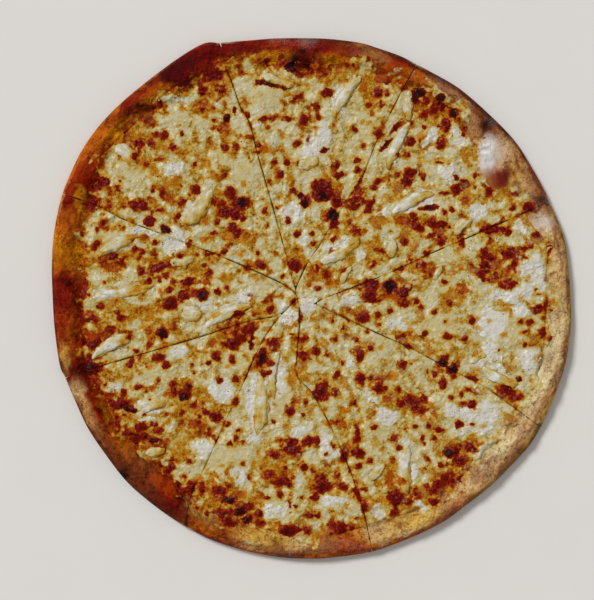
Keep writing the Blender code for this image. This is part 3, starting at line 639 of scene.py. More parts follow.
# %% [markdown]
# ## The relief of the cheese
# Melted shreds of cheese keep a trace of their shape: soft ridges that run every way. A ridge is
# where a random field crosses zero, so 1 minus its size gives one. Blisters are low domes with a
# moat around them, and the cheese rounds off at a cut, where the wheel pressed it down. Towards
# the rim it thins out to a film that runs on past its solid, in some places further than in others.

# %% The upper side of the cheese
RAGGED, RAGGED_SIZE = 0.0044, 0.012  # how far the edge of the film strays, and over what length
RAGGED_LIMIT = 0.004
FILM_EDGE = 0.00015  # the thickness of the film at its edge
FILM_REACH_MM = (  # bearing in degrees, and how far past its solid the cheese runs up the rim
    (0, 5), (15, 6), (24, 5), (33, 7), (45, 9), (55, 10), (63, 8), (70, 6.5), (90, 6), (115, 6),
    (128, 6), (140, 5), (160, 5), (170, 5), (180, 6), (200, 5), (215, 5.5), (226, 2.5), (234, 3.5),
    (245, 7), (265, 7), (277, 5), (290, 4.5), (325, 5), (345, 5),
)
RIDGE = 0.00036
LUMP = 0.00036
GRAIN = 0.00020
THICK_WHITE = 0.0004  # white patches stand this much higher
SCORCHED_GRAIN = 0.0003
BLISTER_DOME = 0.00045
CUT_ROUND = 0.0008  # over this distance the cheese bends down to the cut
CUT_DROP = 0.0007


def round_the_rim(points, table):
    """The numbers of a table of bearings, in degrees, at the bearing of each point."""
    bearings, values = np.array(table).T
    return np.interp(bearing_of(points), np.radians(bearings), values, period=2 * math.pi)


def inside_film(points):
    """How far each point lies inside the outline that the melted cheese reaches."""
    width = np.interp(bearing_of(points), ring_bearing, ring_width, period=2 * math.pi)
    reach = round_the_rim(points, FILM_REACH_MM) * MILLIMETRE
    ragged = RAGGED_LIMIT * np.tanh(RAGGED / RAGGED_LIMIT * (uneven(points, RAGGED_SIZE, 3, 21) - 0.1))
    return edge_and_rise(points)[0] - width + reach + ragged


def plain_cheese_height(points):
    """The upper side of the cheese, as the solids have it."""
    full = smoothstep(0, 0.12, CHEESE_RISE - edge_and_rise(points)[1])
    thickness = CHEESE_EDGE + (CHEESE_THICKNESS - CHEESE_EDGE) * full
    swell = CHEESE_SWELL * waves(points[:, 1], points[:, 0]) + humps(points, CHEESE_MOUNDS)
    return dough_height(points) + LAYER_GAP + thickness + swell * full


def cheese_height(points, from_cut):
    """The upper side of the cheese in full detail."""
    within = inside_film(points)
    film = smoothstep(0, 0.003, within)
    reach = round_the_rim(points, FILM_REACH_MM) * MILLIMETRE + RAGGED_LIMIT
    full = smoothstep(-0.02, 0.34, CHEESE_RISE - edge_and_rise(points)[1])
    full = np.maximum(full, smoothstep(0, 1, within / reach))
    thickness = FILM_EDGE + (CHEESE_THICKNESS + LAYER_GAP - FILM_EDGE) * full
    swell = CHEESE_SWELL * waves(points[:, 1], points[:, 0]) + humps(points, CHEESE_MOUNDS)
    height = crust_height(points) + thickness + swell * full
    bent = wobble(points, 0.011, 0.0028, 4)
    shreds = 1 - 2.4 * abs(uneven(bent, 0.0105, 1, 1)) + 0.6 * (1 - 2.4 * abs(uneven(bent, 0.0060, 1, 2)))
    lumps = 1.2 * uneven(points, 0.018, 2, 5) + 0.5 * uneven(points, 0.0046, 1, 6)
    pale = smoothstep(-1.5, 2.0, depth_in(wobble(points, 0.006, 0.0014, 8), WHITE_PATCHES))
    burnt = smoothstep(-1.0, 1.0, depth_in(wobble(points, 0.004, 0.0010, 9), BROWNED_PATCHES))
    calm = smoothstep(-2.0, 2.5, depth_in(wobble(points, 0.006, 0.0014, 12), SMOOTH_PATCHES))
    calm = np.maximum(calm, 1.5 * stretched(points))
    blister = depth_in(wobble(points, 0.003, 0.0004, 7), BLISTERS)
    moat = -0.35 * np.exp(-((blister + 0.5) ** 2) / 0.3)
    dome = np.where(blister > 0, 1 - (1 - np.clip(blister / 1.8, 0, 1)) ** 2, moat)
    relief = RIDGE * shreds * (1 - 0.2 * pale) + LUMP * lumps + GRAIN * uneven(points, 0.0017, 2, 10)
    relief = relief * (1 - 0.6 * calm) + THICK_WHITE * pale + BLISTER_DOME * dome
    relief += burnt * SCORCHED_GRAIN * uneven(points, 0.0024, 2, 11)
    relief *= (0.35 + 0.65 * full) * film
    open_cut = smoothstep(-0.5, 0.4, uneven(points, 0.02, 2, 23))
    relief -= CUT_DROP * np.clip(1 - from_cut / CUT_ROUND, 0, 1) ** 2 * (0.2 + 0.8 * full) * open_cut
    return under_limit(height + relief)


sample = sample[np.linalg.norm(sample, axis=1) < 0.14]
relief = cheese_height(sample, 1.0) - plain_cheese_height(sample)
print(f"the relief of the cheese is between {relief.min() * 1000:.2f} and {relief.max() * 1000:.2f} mm")

# %% [markdown]
# ## A closed layer from an outline
# Crust and cheese are both layers: an outline, an upper side that is fine and uneven, a wall and a
# plain underside. A grid of squares would bunch up at the tip of a slice. Points on a triangular
# lattice are spread evenly, and a constrained Delaunay triangulation joins them to the outline
# with no sliver at the edge. It is run once for the top and once, with few points, for the bottom.

# %% Triangles over an outline
def inside(points, outline):
    """Which of the points lie inside the closed outline."""
    x, y = points[:, 0], points[:, 1]
    result = np.zeros(len(points), bool)
    for a, b in zip(outline, np.roll(outline, -1, axis=0)):
        crosses = (a[1] > y) != (b[1] > y)
        with np.errstate(divide="ignore", invalid="ignore"):
            left = x < (b[0] - a[0]) * (y - a[1]) / (b[1] - a[1]) + a[0]
        result ^= crosses & left
    return result


def distance_to(points, path):
    """The distance from each point to a path of short steps."""
    nearest = np.full(len(points), np.inf)
    for a, b in zip(path, path[1:]):
        along = b - a
        t = np.clip((points - a) @ along / max(along @ along, 1e-18), 0, 1)
        nearest = np.minimum(nearest, np.linalg.norm(points - a - t[:, None] * along, axis=1))
    return nearest


def lattice(outline, spacing, keep_off):
    """Points on a triangular lattice inside the outline, some way off it."""
    low, high = outline.min(axis=0), outline.max(axis=0)
    across, up = np.meshgrid(
        np.arange(low[0], high[0], spacing),
        np.arange(low[1], high[1], spacing * math.sqrt(3) / 2),
    )
    across[1::2] += spacing / 2
    points = np.stack([across.ravel(), up.ravel()], axis=1)
    points = points[inside(points, outline)]
    return points[distance_to(points, np.concatenate([outline, outline[:1]])) > keep_off]


def triangles_over(outline, inner):
    """Triangles that fill the outline, over its own points and the inner ones."""
    points = np.concatenate([outline, inner]) / MILLIMETRE
    loop = list(range(len(outline)))
    corners = [Vector(p) for p in points]
    found, _, faces, originals, _, _ = geometry.delaunay_2d_cdt(corners, [], [loop], 1, 1e-5)
    place = {source: index for index, sources in enumerate(originals) for source in sources}
    return np.array([p[:] for p in found]) * MILLIMETRE, faces, [place[i] for i in loop]


def layer_mesh(name, outline, fine, coarse, top, bottom, bottom_outline=None, round_wall=None):
    """A closed layer: a fine upper side, a wall and a coarse underside.

    The wall meets the upper side in a sharp edge, except where round_wall says that it is round.
    """
    upper, upper_faces, upper_loop = triangles_over(outline, fine)
    lower_outline = outline if bottom_outline is None else bottom_outline
    lower, lower_faces, lower_loop = triangles_over(lower_outline, coarse)
    heights = np.concatenate([top(upper), bottom(lower)])
    points = np.column_stack([np.concatenate([upper, lower]), heights])
    shift = len(upper)
    faces = [tuple(face) for face in upper_faces]
    faces += [tuple(shift + i for i in reversed(face)) for face in lower_faces]
    for i in range(len(outline)):
        j = (i + 1) % len(outline)
        faces.append((upper_loop[j], upper_loop[i], shift + lower_loop[i], shift + lower_loop[j]))
    mesh = bpy.data.meshes.new(name)
    mesh.from_pydata(points.tolist(), [], faces)
    walls = np.zeros(len(outline), bool) if round_wall is None else round_wall
    smooth = np.concatenate([np.ones(len(faces) - len(outline), bool), walls])
    mesh.polygons.foreach_set("use_smooth", smooth)
    return mesh


def store(mesh, name, values):
    """Keeps one number for each point of the mesh, for its finish to read."""
    attribute = mesh.attributes.new(name, "FLOAT", "POINT")
    attribute.data.foreach_set("value", np.asarray(values, np.float32))


def plan_of(mesh):
    """The points of a mesh, seen from above, and their heights."""
    points = np.zeros(len(mesh.vertices) * 3)
    mesh.vertices.foreach_get("co", points)
    points = points.reshape(-1, 3)
    return points[:, :2], points[:, 2]


square = np.array([[0, 0], [1, 0], [1, 1], [0, 1]]) * 0.01
print(len(triangles_over(square, lattice(square, 0.002, 0.0005))[1]), "triangles in a test square")

# %% [markdown]
# ## One slice's outline
# Its outline runs from the tip along one cut, round the outer edge and back along the other cut.
# Near the middle two cuts can run almost side by side, so a slice starts where they have parted.
# The cheese stops short of the outer edge, and its own edge is ragged where it melted over the rim.

# %% The outlines of crust and cheese
FINE = 0.00057  # the spacing of the points where there is detail
EDGE_STEP = 0.0007
CHEESE_GAP = 0.00034
CRUST_GAP = 0.0005
NEAR_TIP = 90  # so many points from the tip two cuts can run side by side
CORNER_ROOM = 0.0004


def side_of_cut(path, width, side):
    """The path moved to one side by half of a gap that is wide here and narrow there."""
    path = evenly(path, FINE)
    half = width / 2 * np.clip(1 + 1.3 * uneven(path, 0.008, 2, 22), 0.1, 2.4)
    return beside(path, side * half[:, None])


def between_cuts(index, width):
    """The two sides of a slice from its tip outwards, and its part of the outer edge."""
    first = side_of_cut(cut_paths[index], width, 1)
    last = side_of_cut(cut_paths[(index + 1) % 8], width, -1)
    apart = [np.linalg.norm(last - point, axis=1).min() for point in first[:NEAR_TIP]]
    close = [i for i, gap in enumerate(apart) if gap < TIP_WIDTH]
    start = close[-1] + 1 if close else 0
    partner = int(np.linalg.norm(last - first[start], axis=1).argmin())
    return first[start:], last[partner:], evenly(edge_paths[index], EDGE_STEP)


def sides_of(index):
    """Both cuts of a slice as one path."""
    return np.concatenate([cut_paths[index], cut_paths[(index + 1) % 8][::-1]])


def cheese_outline(index):
    """The outline of a slice's cheese; its outer end is moved to the edge of the film in steps."""
    first, last, end = between_cuts(index, CHEESE_GAP)
    for _ in range(4):
        inward = (middle - end) / np.linalg.norm(end - middle, axis=1)[:, None]
        end = end - inward * inside_film(end)[:, None]
    reaches = [np.linalg.norm(corner - middle) - CORNER_ROOM for corner in (end[0], end[-1])]
    first, last = (
        path[np.linalg.norm(path - middle, axis=1) < reach] for path, reach in zip((first, last), reaches)
    )
    return np.concatenate([first, end, last[::-1]])[::-1]


def crust_outline(index):
    """The outline of a slice's crust."""
    first, last, edge = between_cuts(index, CRUST_GAP)
    return np.concatenate([first[:-1], edge, last[:-1][::-1]])[::-1]


print("points round the first slice's cheese:", len(cheese_outline(0)))

# %% [markdown]
# ## Finishes as formulas
# A finish is a formula over the surface: a colour here, a rougher patch there. Blender keeps it as
# a graph of nodes, which is slow to read as code. The small class below wraps one output of a node.
# Adding or multiplying two of them adds the Math node for it, so that the finishes further down,
# and later the Geometry Nodes, read like arithmetic.

# %% A number that varies over the surface
class Amount:
    """One output of a node, with the usual arithmetic."""

    def __init__(self, graph, socket):
        self.graph = graph
        self.socket = socket

    def combine(self, operation, a, b):
        return self.graph.node("ShaderNodeMath", {"operation": operation}, {0: a, 1: b})

    def __add__(self, other):
        return self.combine("ADD", self, other)

    def __mul__(self, other):
        return self.combine("MULTIPLY", self, other)

    def __sub__(self, other):
        return self.combine("SUBTRACT", self, other)

    def __rsub__(self, other):
        return self.combine("SUBTRACT", other, self)

    __radd__ = __add__
    __rmul__ = __mul__


class Graph:
    """A graph of nodes under construction."""

    def node(self, kind, settings=None, inputs=None, output=0):
        """Adds a node: its settings, then the values or links of its sockets."""
        node = self.tree.nodes.new(kind)
        for key, value in (settings or {}).items():
            if key == "stops":
                self.set_stops(node.color_ramp, value)
            else:
                setattr(node, key, value)
        for key, value in (inputs or {}).items():
            self.feed(node.inputs[key], value)
        return Amount(self, node.outputs[output])

    def set_stops(self, ramp, stops):
        """Gives a ramp its colours: pairs of a position and a colour."""
        ramp.interpolation = "EASE"
        while len(ramp.elements) < len(stops):
            ramp.elements.new(1)
        for element, (position, colour) in zip(ramp.elements, stops):
            element.position = position
            element.color = (*colour, 1)

    def feed(self, socket, value):
        """Links a socket, or gives it a value."""
        if isinstance(value, Amount):
            self.tree.links.new(value.socket, socket)
        elif isinstance(value, tuple) and socket.type == "RGBA":
            socket.default_value = (*value, 1)
        else:
            socket.default_value = value


class Finish(Graph):
    """A material under construction."""

    def __init__(self, name):
        self.material = bpy.data.materials.new(name)
        self.material.use_nodes = True
        self.tree = self.material.node_tree
        self.shader = self.tree.nodes["Principled BSDF"]
        self.place = self.node("ShaderNodeTexCoord", output="Object")

    def set(self, **inputs):
        """Feeds the shader's sockets, named with an underscore for a space."""
        for key, value in inputs.items():
            self.feed(self.shader.inputs[key.replace("_", " ").title().replace("Ior", "IOR")], value)

    def noise(self, size, detail=2.0, roughness=0.5, distortion=0.0):
        """A random field whose swells are about this large, in metres."""
        inputs = {"Vector": self.place, "Scale": 1 / size, "Detail": detail, "Roughness": roughness,
                  "Distortion": distortion}
        return self.node("ShaderNodeTexNoise", {}, inputs)

    def stored(self, name, kind="Fac"):
        """What the mesh keeps for each point: a number, a colour or a vector."""
        return self.node("ShaderNodeAttribute", {"attribute_name": name}, output=kind)

    def between(self, value, low, high):
        """0 below low, 1 above high, and smooth in between."""
        settings = {"interpolation_type": "SMOOTHSTEP", "clamp": True}
        return self.node("ShaderNodeMapRange", settings, {"Value": value, "From Min": low, "From Max": high})

    def mix(self, share, a, b):
        """Colour a where the share is 0, and b where it is 1."""
        settings = {"data_type": "RGBA", "clamp_factor": True}
        return self.node("ShaderNodeMix", settings, {0: share, 6: a, 7: b}, 2)

    def bump(self, height, distance):
        """A normal from a height between 0 and 1 that stands for this distance."""
        return self.node("ShaderNodeBump", {}, {"Strength": 1.0, "Distance": distance, "Height": height})

    def spots(self, size, share):
        """How deep in a round spot, in cells: each cell has one of random size, and a share shows."""
        cell = self.node("ShaderNodeTexVoronoi", {}, {"Vector": self.place, "Scale": 1 / size})
        distance, tint = (Amount(self, cell.socket.node.outputs[name]) for name in ("Distance", "Color"))
        chance = self.node("ShaderNodeSeparateColor", {}, {0: tint})
        shown = self.between(chance, 1 - share, 1.12 - share)
        return shown * (0.16 + 0.30 * self.node("ShaderNodeSeparateColor", {}, {0: tint}, 1)) - distance

    def specks(self, size, share, softness=0.08):
        """The same spots as a mask."""
        return self.between(self.spots(size, share), 0.0, softness)

    def times(self, colour, factor):
        """A colour multiplied by another."""
        settings = {"data_type": "RGBA", "blend_type": "MULTIPLY"}
        return self.node("ShaderNodeMix", settings, {0: 1.0, 6: colour, 7: factor}, 2)

    def mottled(self, colour):
        """Baked dough of this colour: darker and paler flecks in it."""
        broad, fine, grain = self.noise(0.008, 2), self.noise(0.0026, 2, 0.6), self.noise(0.0014, 2, 0.7)
        amount = broad * 0.30 + fine * 0.30 + grain * 0.40
        darker = self.times(colour, (0.50, 0.34, 0.26))
        colour = self.mix(self.between(amount, 0.40, 0.50), darker, colour)
        paler = self.times(colour, (1.28, 1.40, 1.50))
        return self.mix(self.between(amount, 0.50, 0.60) * 0.8, colour, paler)


def seen(red, green, blue):
    """A colour as the photograph shows it, from 0 to 255, turned to the light it reflects."""
    shares = [v / 255 for v in (red, green, blue)]
    return tuple(float(((v + 0.055) / 1.055) ** 2.4) if v > 0.04 else v / 12.92 for v in shares)


print("cream reflects", [round(v, 2) for v in seen(186, 178, 140)])

# %% [markdown]
# ## How cheese bakes
# Cheese in an oven goes through the same colours everywhere: milky white, cream, straw, ochre,
# amber brown, deep red brown. So the finish works with one number, how far a place has baked, and
# a ramp turns it into a colour. The halo round each blister then comes by itself, because the
# number falls off from the blister's middle, and so does the brown mottling of the oily patches.

# %% The colours of baking
BAKING = (
    (0.00, seen(214, 212, 209)),
    (0.10, seen(200, 196, 183)),
    (0.20, seen(192, 181, 142)),
    (0.30, seen(186, 168, 108)),
    (0.40, seen(184, 152, 64)),
    (0.53, seen(177, 117, 10)),
    (0.64, seen(156, 72, 2)),
    (0.74, seen(134, 30, 1)),
    (0.85, seen(110, 10, 1)),
    (1.00, seen(62, 4, 4)),
)
AMBER = seen(188, 96, 0)
# The colour of the painted highlights: glints on fresh cheese.
GLINT_HIGHLIGHT = seen(220, 218, 212)
HERB_DUST = seen(60, 58, 22)
CHAR = seen(26, 10, 8)


def baked(finish, level):
    """The colour of cheese that has baked this far, from 0 to 1."""
    return finish.node("ShaderNodeValToRGB", {"stops": BAKING}, {0: level})


print(len(BAKING), "colours from milky white to dark red brown")

# %% [markdown]
# ## The finish of the cheese
# Each mask adds its part to that number: patches where oil stands or the heat was stronger push it
# up, thick white cheese holds it down, and noise at four sizes makes it grainy. A blister sets it
# almost to the end. Freckles are smaller spots in the cells of a Voronoi pattern. One thin noise
# gives painted shade in small creases and painted highlights, pale glints on the fresh cheese. Fresh
# cheese is wet, so it has a clear coat, and what has browned is dull. Near the rim the film of
# cheese takes on the colour of the dough below it.

# %% Melted cheese
def cheese_finish():
    f = Finish("melted cheese")
    broad = f.noise(0.0120, 2, 0.5)
    middling = f.noise(0.0062, 2, 0.5)
    fine = f.noise(0.0034, 1, 0.5)
    grain = f.noise(0.0013, 2, 0.6)
    browned, smooth = f.stored("browned"), f.stored("smooth")
    white = f.between(f.stored("white") + (middling - 0.5) * 1.5 + (fine - 0.5) * 0.7, 0.05, 1.10)
    blister, amber, charred = f.stored("blister"), f.stored("amber"), f.stored("charred")
    margin, cut = f.stored("margin"), f.stored("cut")
    ragged = (grain - 0.5) * 1.2 + (fine - 0.5) * 1.8

    # How far each place has baked.
    spread = f.stored("ochre") * 0.60 + (broad - 0.5) * 1.9 + (middling - 0.5) * 1.9 + (fine - 0.5) * 0.5
    oily = f.between(spread + 0.5 * margin + 0.4 * browned - 0.30 * smooth - 0.45 * white, -0.15, 0.60)
    busy = 0.55 + 0.25 * oily + 0.35 * browned - 0.20 * white - 0.15 * smooth
    unevenly = (broad - 0.5) * 0.25 + (middling - 0.5) * 0.75 + (fine - 0.5) * 0.45 + (grain - 0.5) * 0.12
    level = 0.262 + 0.23 * oily + 0.08 * browned + 0.26 * margin + 0.12 * cut - 0.16 * white
    level = level + unevenly * busy
    freckle = f.spots(0.0054, 0.03 + 0.13 * oily + 0.36 * browned + 0.45 * margin) + ragged * 0.05
    level = level + 0.15 * f.between(freckle, -0.24, 0.0)
    level = level + 0.35 * f.between(freckle, -0.04, 0.12) * (1 - level)
    level = level + 0.22 * f.between(blister + ragged, -2.4, -0.2)
    level = level + 0.20 * f.between(amber + ragged, -1.4, 0.4)
    burst = f.between(blister + ragged * 0.5, -0.20, 0.45)
    deep = 0.79 + 0.13 * f.between(blister + ragged * 0.5, 0.3, 2.2) + (grain - 0.5) * 0.3
    level = level * (1 - burst) + deep * burst
    level = level + 0.75 * f.between(charred + ragged, -1.1, -0.1) * (1 - level)

    # Its colour, with painted shade in creases, painted highlights as glints, and herb dust.
    colour = f.mix(f.between(amber + ragged, -0.6, 0.9) * 0.45 * (1 - burst), baked(f, level), AMBER)
    strand = f.noise(0.0034, 3, 0.6, 0.6) - 0.5
    uncalm = f.between(broad * 0.5 + middling * 0.5 + 0.10 * oily - 0.10 * smooth, 0.44, 0.60)
    # Painted shade in small creases: the colour is darkened along thin lines of a noise.
    painted_crease_shade = (1 - f.between(strand * strand, 0.0, 0.0020)) * f.between(grain, 0.38, 0.56) * uncalm
    colour = f.mix(painted_crease_shade * (0.85 - 0.35 * white), colour, f.times(colour, (0.34, 0.25, 0.16)))
    fresh = 1 - f.between(level, 0.28, 0.48)
    # Painted highlights: pale glints on the fresh cheese.
    glint = f.between(strand * 0.6 + middling - 0.5 + 0.10 * white, 0.12, 0.26) * fresh
    colour = f.mix(glint * 0.65, colour, GLINT_HIGHLIGHT)
    colour = f.mix(f.specks(0.0021, 0.08, 0.05) * 0.6, colour, HERB_DUST)

    # The film over the rim, and what has burnt.
    painted = f.stored("tone", "Color")
    patchy = (broad - 0.5) * 1.6 + (middling - 0.5) * 1.8 + (fine - 0.5) * 1.4
    brink = f.between(f.stored("brink") + patchy - burst, 0.25, 0.95)
    taut = f.stored("taut")
    colour = f.mix(brink, colour, f.mix(taut * 0.75, f.mottled(painted), painted))
    colour = f.mix(f.between(charred + ragged, 0.0, 0.8) * 0.8, colour, CHAR)
    f.set(
        base_color=colour,
        roughness=0.46 - 0.10 * oily - 0.12 * burst,
        specular_ior_level=0.05,
        coat_weight=0.05 + 0.35 * fresh * (1 - taut) + 0.20 * taut,
        coat_roughness=0.32,
        normal=f.bump((grain * 0.5 + fine) * (1 - 0.85 * taut), 0.0007),
    )
    return f.material


CHEESE_FINISH = cheese_finish()
print("nodes in the cheese's finish:", len(CHEESE_FINISH.node_tree.nodes))

# %% [markdown]
# ## The colours of the rim
# The rim went into a hot oven: on the left it is dark red-brown over a pale side, on the right it
# is tan. Its colour is listed at places round the pizza for three bands: the side, the crest and
# the slope down to the cheese, and blended between the places by bearing. Streaks along the rim and
# a browner line on its ridge come next, and a few darker or paler patches are dabbed over them.

# %% Tones round the rim
CRUST_TONES = {
    "bubble white": seen(214, 210, 206),
    "cream": seen(188, 168, 126),
    "dough": seen(184, 148, 98),
    "straw": seen(182, 140, 62),
    "pale tan": seen(176, 132, 80),
    "tan": seen(158, 106, 58),
    "olive tan": seen(156, 116, 44),
    "dull brown": seen(132, 76, 32),
    "brown": seen(112, 52, 20),
    "dark brown": seen(82, 30, 10),
    "golden": seen(184, 114, 2),
    "orange": seen(166, 82, 6),
    "rust": seen(148, 48, 2),
    "red brown": seen(126, 22, 2),
    "dark red": seen(98, 6, 1),
    "deep red": seen(68, 2, 1),
    "char": seen(26, 10, 8),
}
RIM_TONES = (  # bearing in degrees; the tones of the side, the crest and the inner slope
    (0, "olive tan", "dough", "straw"), (8, "olive tan", "pale tan", "dough"),
    (16, "olive tan", "tan", "dough"), (23, "red brown", "brown", "tan"),
    (29, "brown", "tan", "straw"), (36, "dark brown", "tan", "pale tan"),
    (43, "dark brown", "brown", "tan"), (49, "dark brown", "tan", "tan"),
    (55, "dark brown", "dull brown", "red brown"), (61, "dark brown", "brown", "orange"),
    (66, "dark brown", "red brown", "rust"), (75, "brown", "dull brown", "orange"),
    (84, "deep red", "dark red", "rust"), (90, "deep red", "red brown", "dark red"),
    (96, "red brown", "rust", "golden"), (103, "red brown", "red brown", "orange"),
    (111, "red brown", "dark red", "red brown"), (120, "brown", "deep red", "deep red"),
    (126, "orange", "rust", "golden"), (132, "orange", "red brown", "dark red"),
    (138, "orange", "orange", "golden"), (144, "orange", "orange", "rust"),
    (151, "orange", "rust", "red brown"), (157, "orange", "dark red", "red brown"),
    (163, "orange", "orange", "orange"), (169, "golden", "golden", "golden"),
    (175, "dark red", "red brown", "rust"), (181, "deep red", "dark red", "red brown"),
    (187, "dark red", "rust", "red brown"), (193, "brown", "orange", "rust"),
    (198, "dark brown", "dark red", "dark red"), (204, "tan", "pale tan", "rust"),
    (210, "brown", "tan", "red brown"), (218, "dark brown", "brown", "orange"),
    (228, "dark brown", "dark brown", "brown"), (234, "dark brown", "red brown", "rust"),
    (240, "brown", "dark red", "dark red"), (247, "red brown", "orange", "straw"),
    (253, "red brown", "orange", "orange"), (259, "orange", "pale tan", "straw"),
    (266, "brown", "tan", "straw"), (272, "orange", "tan", "dough"),
    (281, "orange", "rust", "orange"), (288, "orange", "orange", "straw"),
    (295, "orange", "dough", "straw"), (301, "orange", "straw", "straw"),
    (306, "orange", "rust", "tan"), (313, "olive tan", "pale tan", "dough"),
    (322, "olive tan", "pale tan", "cream"), (330, "olive tan", "pale tan", "dough"),
    (338, "straw", "tan", "cream"), (348, "straw", "pale tan", "cream"),
    (355, "straw", "dough", "cream"),
)
RIM_DABS = (  # x, y, length, width, bearing, tone, strength
    (172, 72, 26, 14, 30, "deep red", 0.9), (193, 62, 30, 10, 28, "deep red", 0.7),
    (230, 51, 60, 12, 4, "dark red", 0.7), (144, 108, 22, 9, -8, "deep red", 0.9),
    (160, 90, 26, 9, 30, "orange", 0.8), (270, 56, 44, 7, 3, "golden", 0.8),
    (255, 62, 50, 6, 6, "orange", 0.7), (237, 70, 30, 8, 10, "deep red", 0.7),
    (331, 62, 34, 12, -8, "golden", 0.9), (342, 50, 40, 10, -14, "red brown", 0.6),
    (300, 62, 34, 26, 0, "deep red", 0.8), (293, 66, 15, 13, 0, "char", 0.9),
    (302, 52, 9, 7, 0, "char", 0.9), (318, 64, 12, 16, 0, "dark red", 0.8),
    (378, 56, 26, 10, -15, "tan", 0.5), (422, 79, 44, 10, -27, "orange", 0.85),
    (420, 94, 16, 11, -30, "char", 0.9), (440, 99, 9, 9, 0, "deep red", 0.8),
    (452, 112, 26, 22, 0, "red brown", 0.8), (454, 114, 11, 11, 0, "char", 0.95),
    (490, 124, 20, 8, 45, "char", 0.6), (482, 134, 12, 7, 50, "dark brown", 0.8),
    (503, 156, 34, 22, 70, "dough", 0.7), (493, 157, 38, 24, 82, "bubble white", 0.22),
    (487, 156, 38, 18, 82, "bubble white", 0.95), (490, 175, 20, 16, 0, "tan", 0.45),
    (499, 179, 26, 24, 0, "red brown", 0.75), (503, 177, 14, 17, 0, "dark red", 0.8),
    (543, 201, 16, 9, -20, "char", 0.8), (532, 205, 24, 10, -20, "dark red", 0.8),
    (545, 222, 18, 14, 0, "bubble white", 0.5), (532, 228, 14, 8, 0, "pale tan", 0.6),
    (536, 236, 7, 7, 0, "dark red", 0.8), (555, 290, 12, 90, 4, "dough", 0.6),
    (541, 431, 11, 14, -30, "char", 0.8), (378, 532, 26, 22, 10, "dough", 0.8),
    (348, 541, 26, 12, 0, "rust", 0.6), (226, 539, 50, 4, -14, "brown", 0.7),
    (295, 554, 24, 5, -3, "dark brown", 0.8), (255, 531, 34, 8, -8, "golden", 0.6),
    (165, 508, 44, 14, -36, "dark brown", 0.6), (140, 480, 50, 22, -45, "brown", 0.5),
    (122, 477, 13, 14, 0, "char", 0.95), (170, 468, 8, 16, 0, "deep red", 0.8),
    (187, 522, 6, 16, 0, "char", 0.8), (79, 390, 12, 18, 20, "dough", 0.8),
    (108, 412, 12, 26, 35, "golden", 0.85), (96, 398, 8, 24, 30, "red brown", 0.5),
    (92, 370, 26, 14, 10, "deep red", 0.8), (70, 282, 22, 24, 0, "dark red", 0.7),
    (69, 283, 8, 7, 0, "deep red", 0.9), (72, 330, 10, 50, 0, "orange", 0.5),
    (81, 205, 9, 40, 8, "golden", 0.8), (66, 358, 9, 26, 12, "straw", 0.7),
    (84, 172, 12, 24, -25, "red brown", 0.5),
)
SIDE_BAND_MM = (  # bearing, and how much of the side shows from above
    (0, 2.6), (25, 3.4), (58, 3.4), (70, 2.0), (90, 1.6), (110, 1.4), (125, 2.2), (162, 2.6), (172, 1.4),
    (193, 2.2), (205, 1.6), (225, 3.0), (240, 2.2), (268, 2.8), (285, 3.4), (345, 3.4),
)
RIDGE_LINE = 0.0012  # past the side, a browner line of this width
RIDGE_TINT = np.array([0.35, 0.55, 0.65])  # how much of each primary the line takes away
RIM_RADIUS = 0.19
STREAK_SIZE, STREAK_STRETCH = 0.0042, 4
STREAK_TINT = np.array([0.36, 0.52, 0.56])  # how much the streaks along the rim change each primary
print(len(RIM_TONES), "places round the rim and", len(RIM_DABS), "dabs")


def band_colours(points, band):
    """The tones of one band of RIM_TONES, blended by bearing."""
    primaries = [[(row[0], CRUST_TONES[row[band]][channel]) for row in RIM_TONES] for channel in range(3)]
    return np.stack([round_the_rim(points, table) for table in primaries], axis=1)


def rim_colours(points):
    """The painted colour of the rim at each point."""
    moved, dabbed = wobble(points, 0.010, 0.0030, 44), wobble(points, 0.006, 0.0014, 46)
    from_edge, rise = edge_and_rise(wobble(points, 0.007, 0.0012, 45))
    side, crest, slope = (band_colours(moved, band) for band in (1, 2, 3))
    past_side = from_edge - round_the_rim(points, SIDE_BAND_MM) * MILLIMETRE
    outside = (1 - smoothstep(-0.0006, 0.0008, past_side))[:, None]
    inward = (1 - smoothstep(0.40, 0.72, rise))[:, None]
    colour = crest * (1 - inward) + slope * inward
    colour = colour * (1 - outside) + side * outside
    along = np.stack([bearing_of(points) * RIM_RADIUS / STREAK_STRETCH, from_edge], axis=1)
    streaks = np.clip(uneven(along, STREAK_SIZE, 3, 51) - 0.05, -0.9, 0.5)[:, None]
    colour = colour * (1 + streaks * STREAK_TINT)
    broken = smoothstep(-0.6, 0.3, uneven(points, 0.02, 2, 49))
    line = np.clip(1 - abs(past_side / RIDGE_LINE - 0.5) * 2, 0, 1) * broken
    colour = colour * (1 - line[:, None] * RIDGE_TINT)
    for x, y, length, width, bearing, tone, strength in RIM_DABS:
        soft = min(length, width) * PIXEL / MILLIMETRE / 2 * 0.5
        depth = depth_in(dabbed, [(x, y, length, width, bearing)], furthest=soft * 2)
        share = (smoothstep(-soft, soft, depth) * strength)[:, None]
        colour = colour * (1 - share) + np.array(CRUST_TONES[tone]) * share
    return colour


def store_tone(mesh, points):
    """Keeps the painted colour of the rim for each point of the mesh."""
    colours = np.concatenate([rim_colours(points), np.ones((len(points), 1))], axis=1)
    tone = mesh.attributes.new("tone", "FLOAT_COLOR", "POINT")
    tone.data.foreach_set("color", colours.astype(np.float32).ravel())


print("a place on the left of the rim:", rim_colours(spot(60, 300)[None])[0].round(2))

# %% [markdown]
# ## Laying the cheese
# Each slice gets its own layer of cheese. The numbers that its finish reads are worked out once
# for its points: how deep they lie in the patches and spots, on a scale of 0 to 1 for what fades
# and in millimetres for what has an edge.

# %% The cheese of the eight slices
COARSE = 0.012  # the spacing of the points of the underside


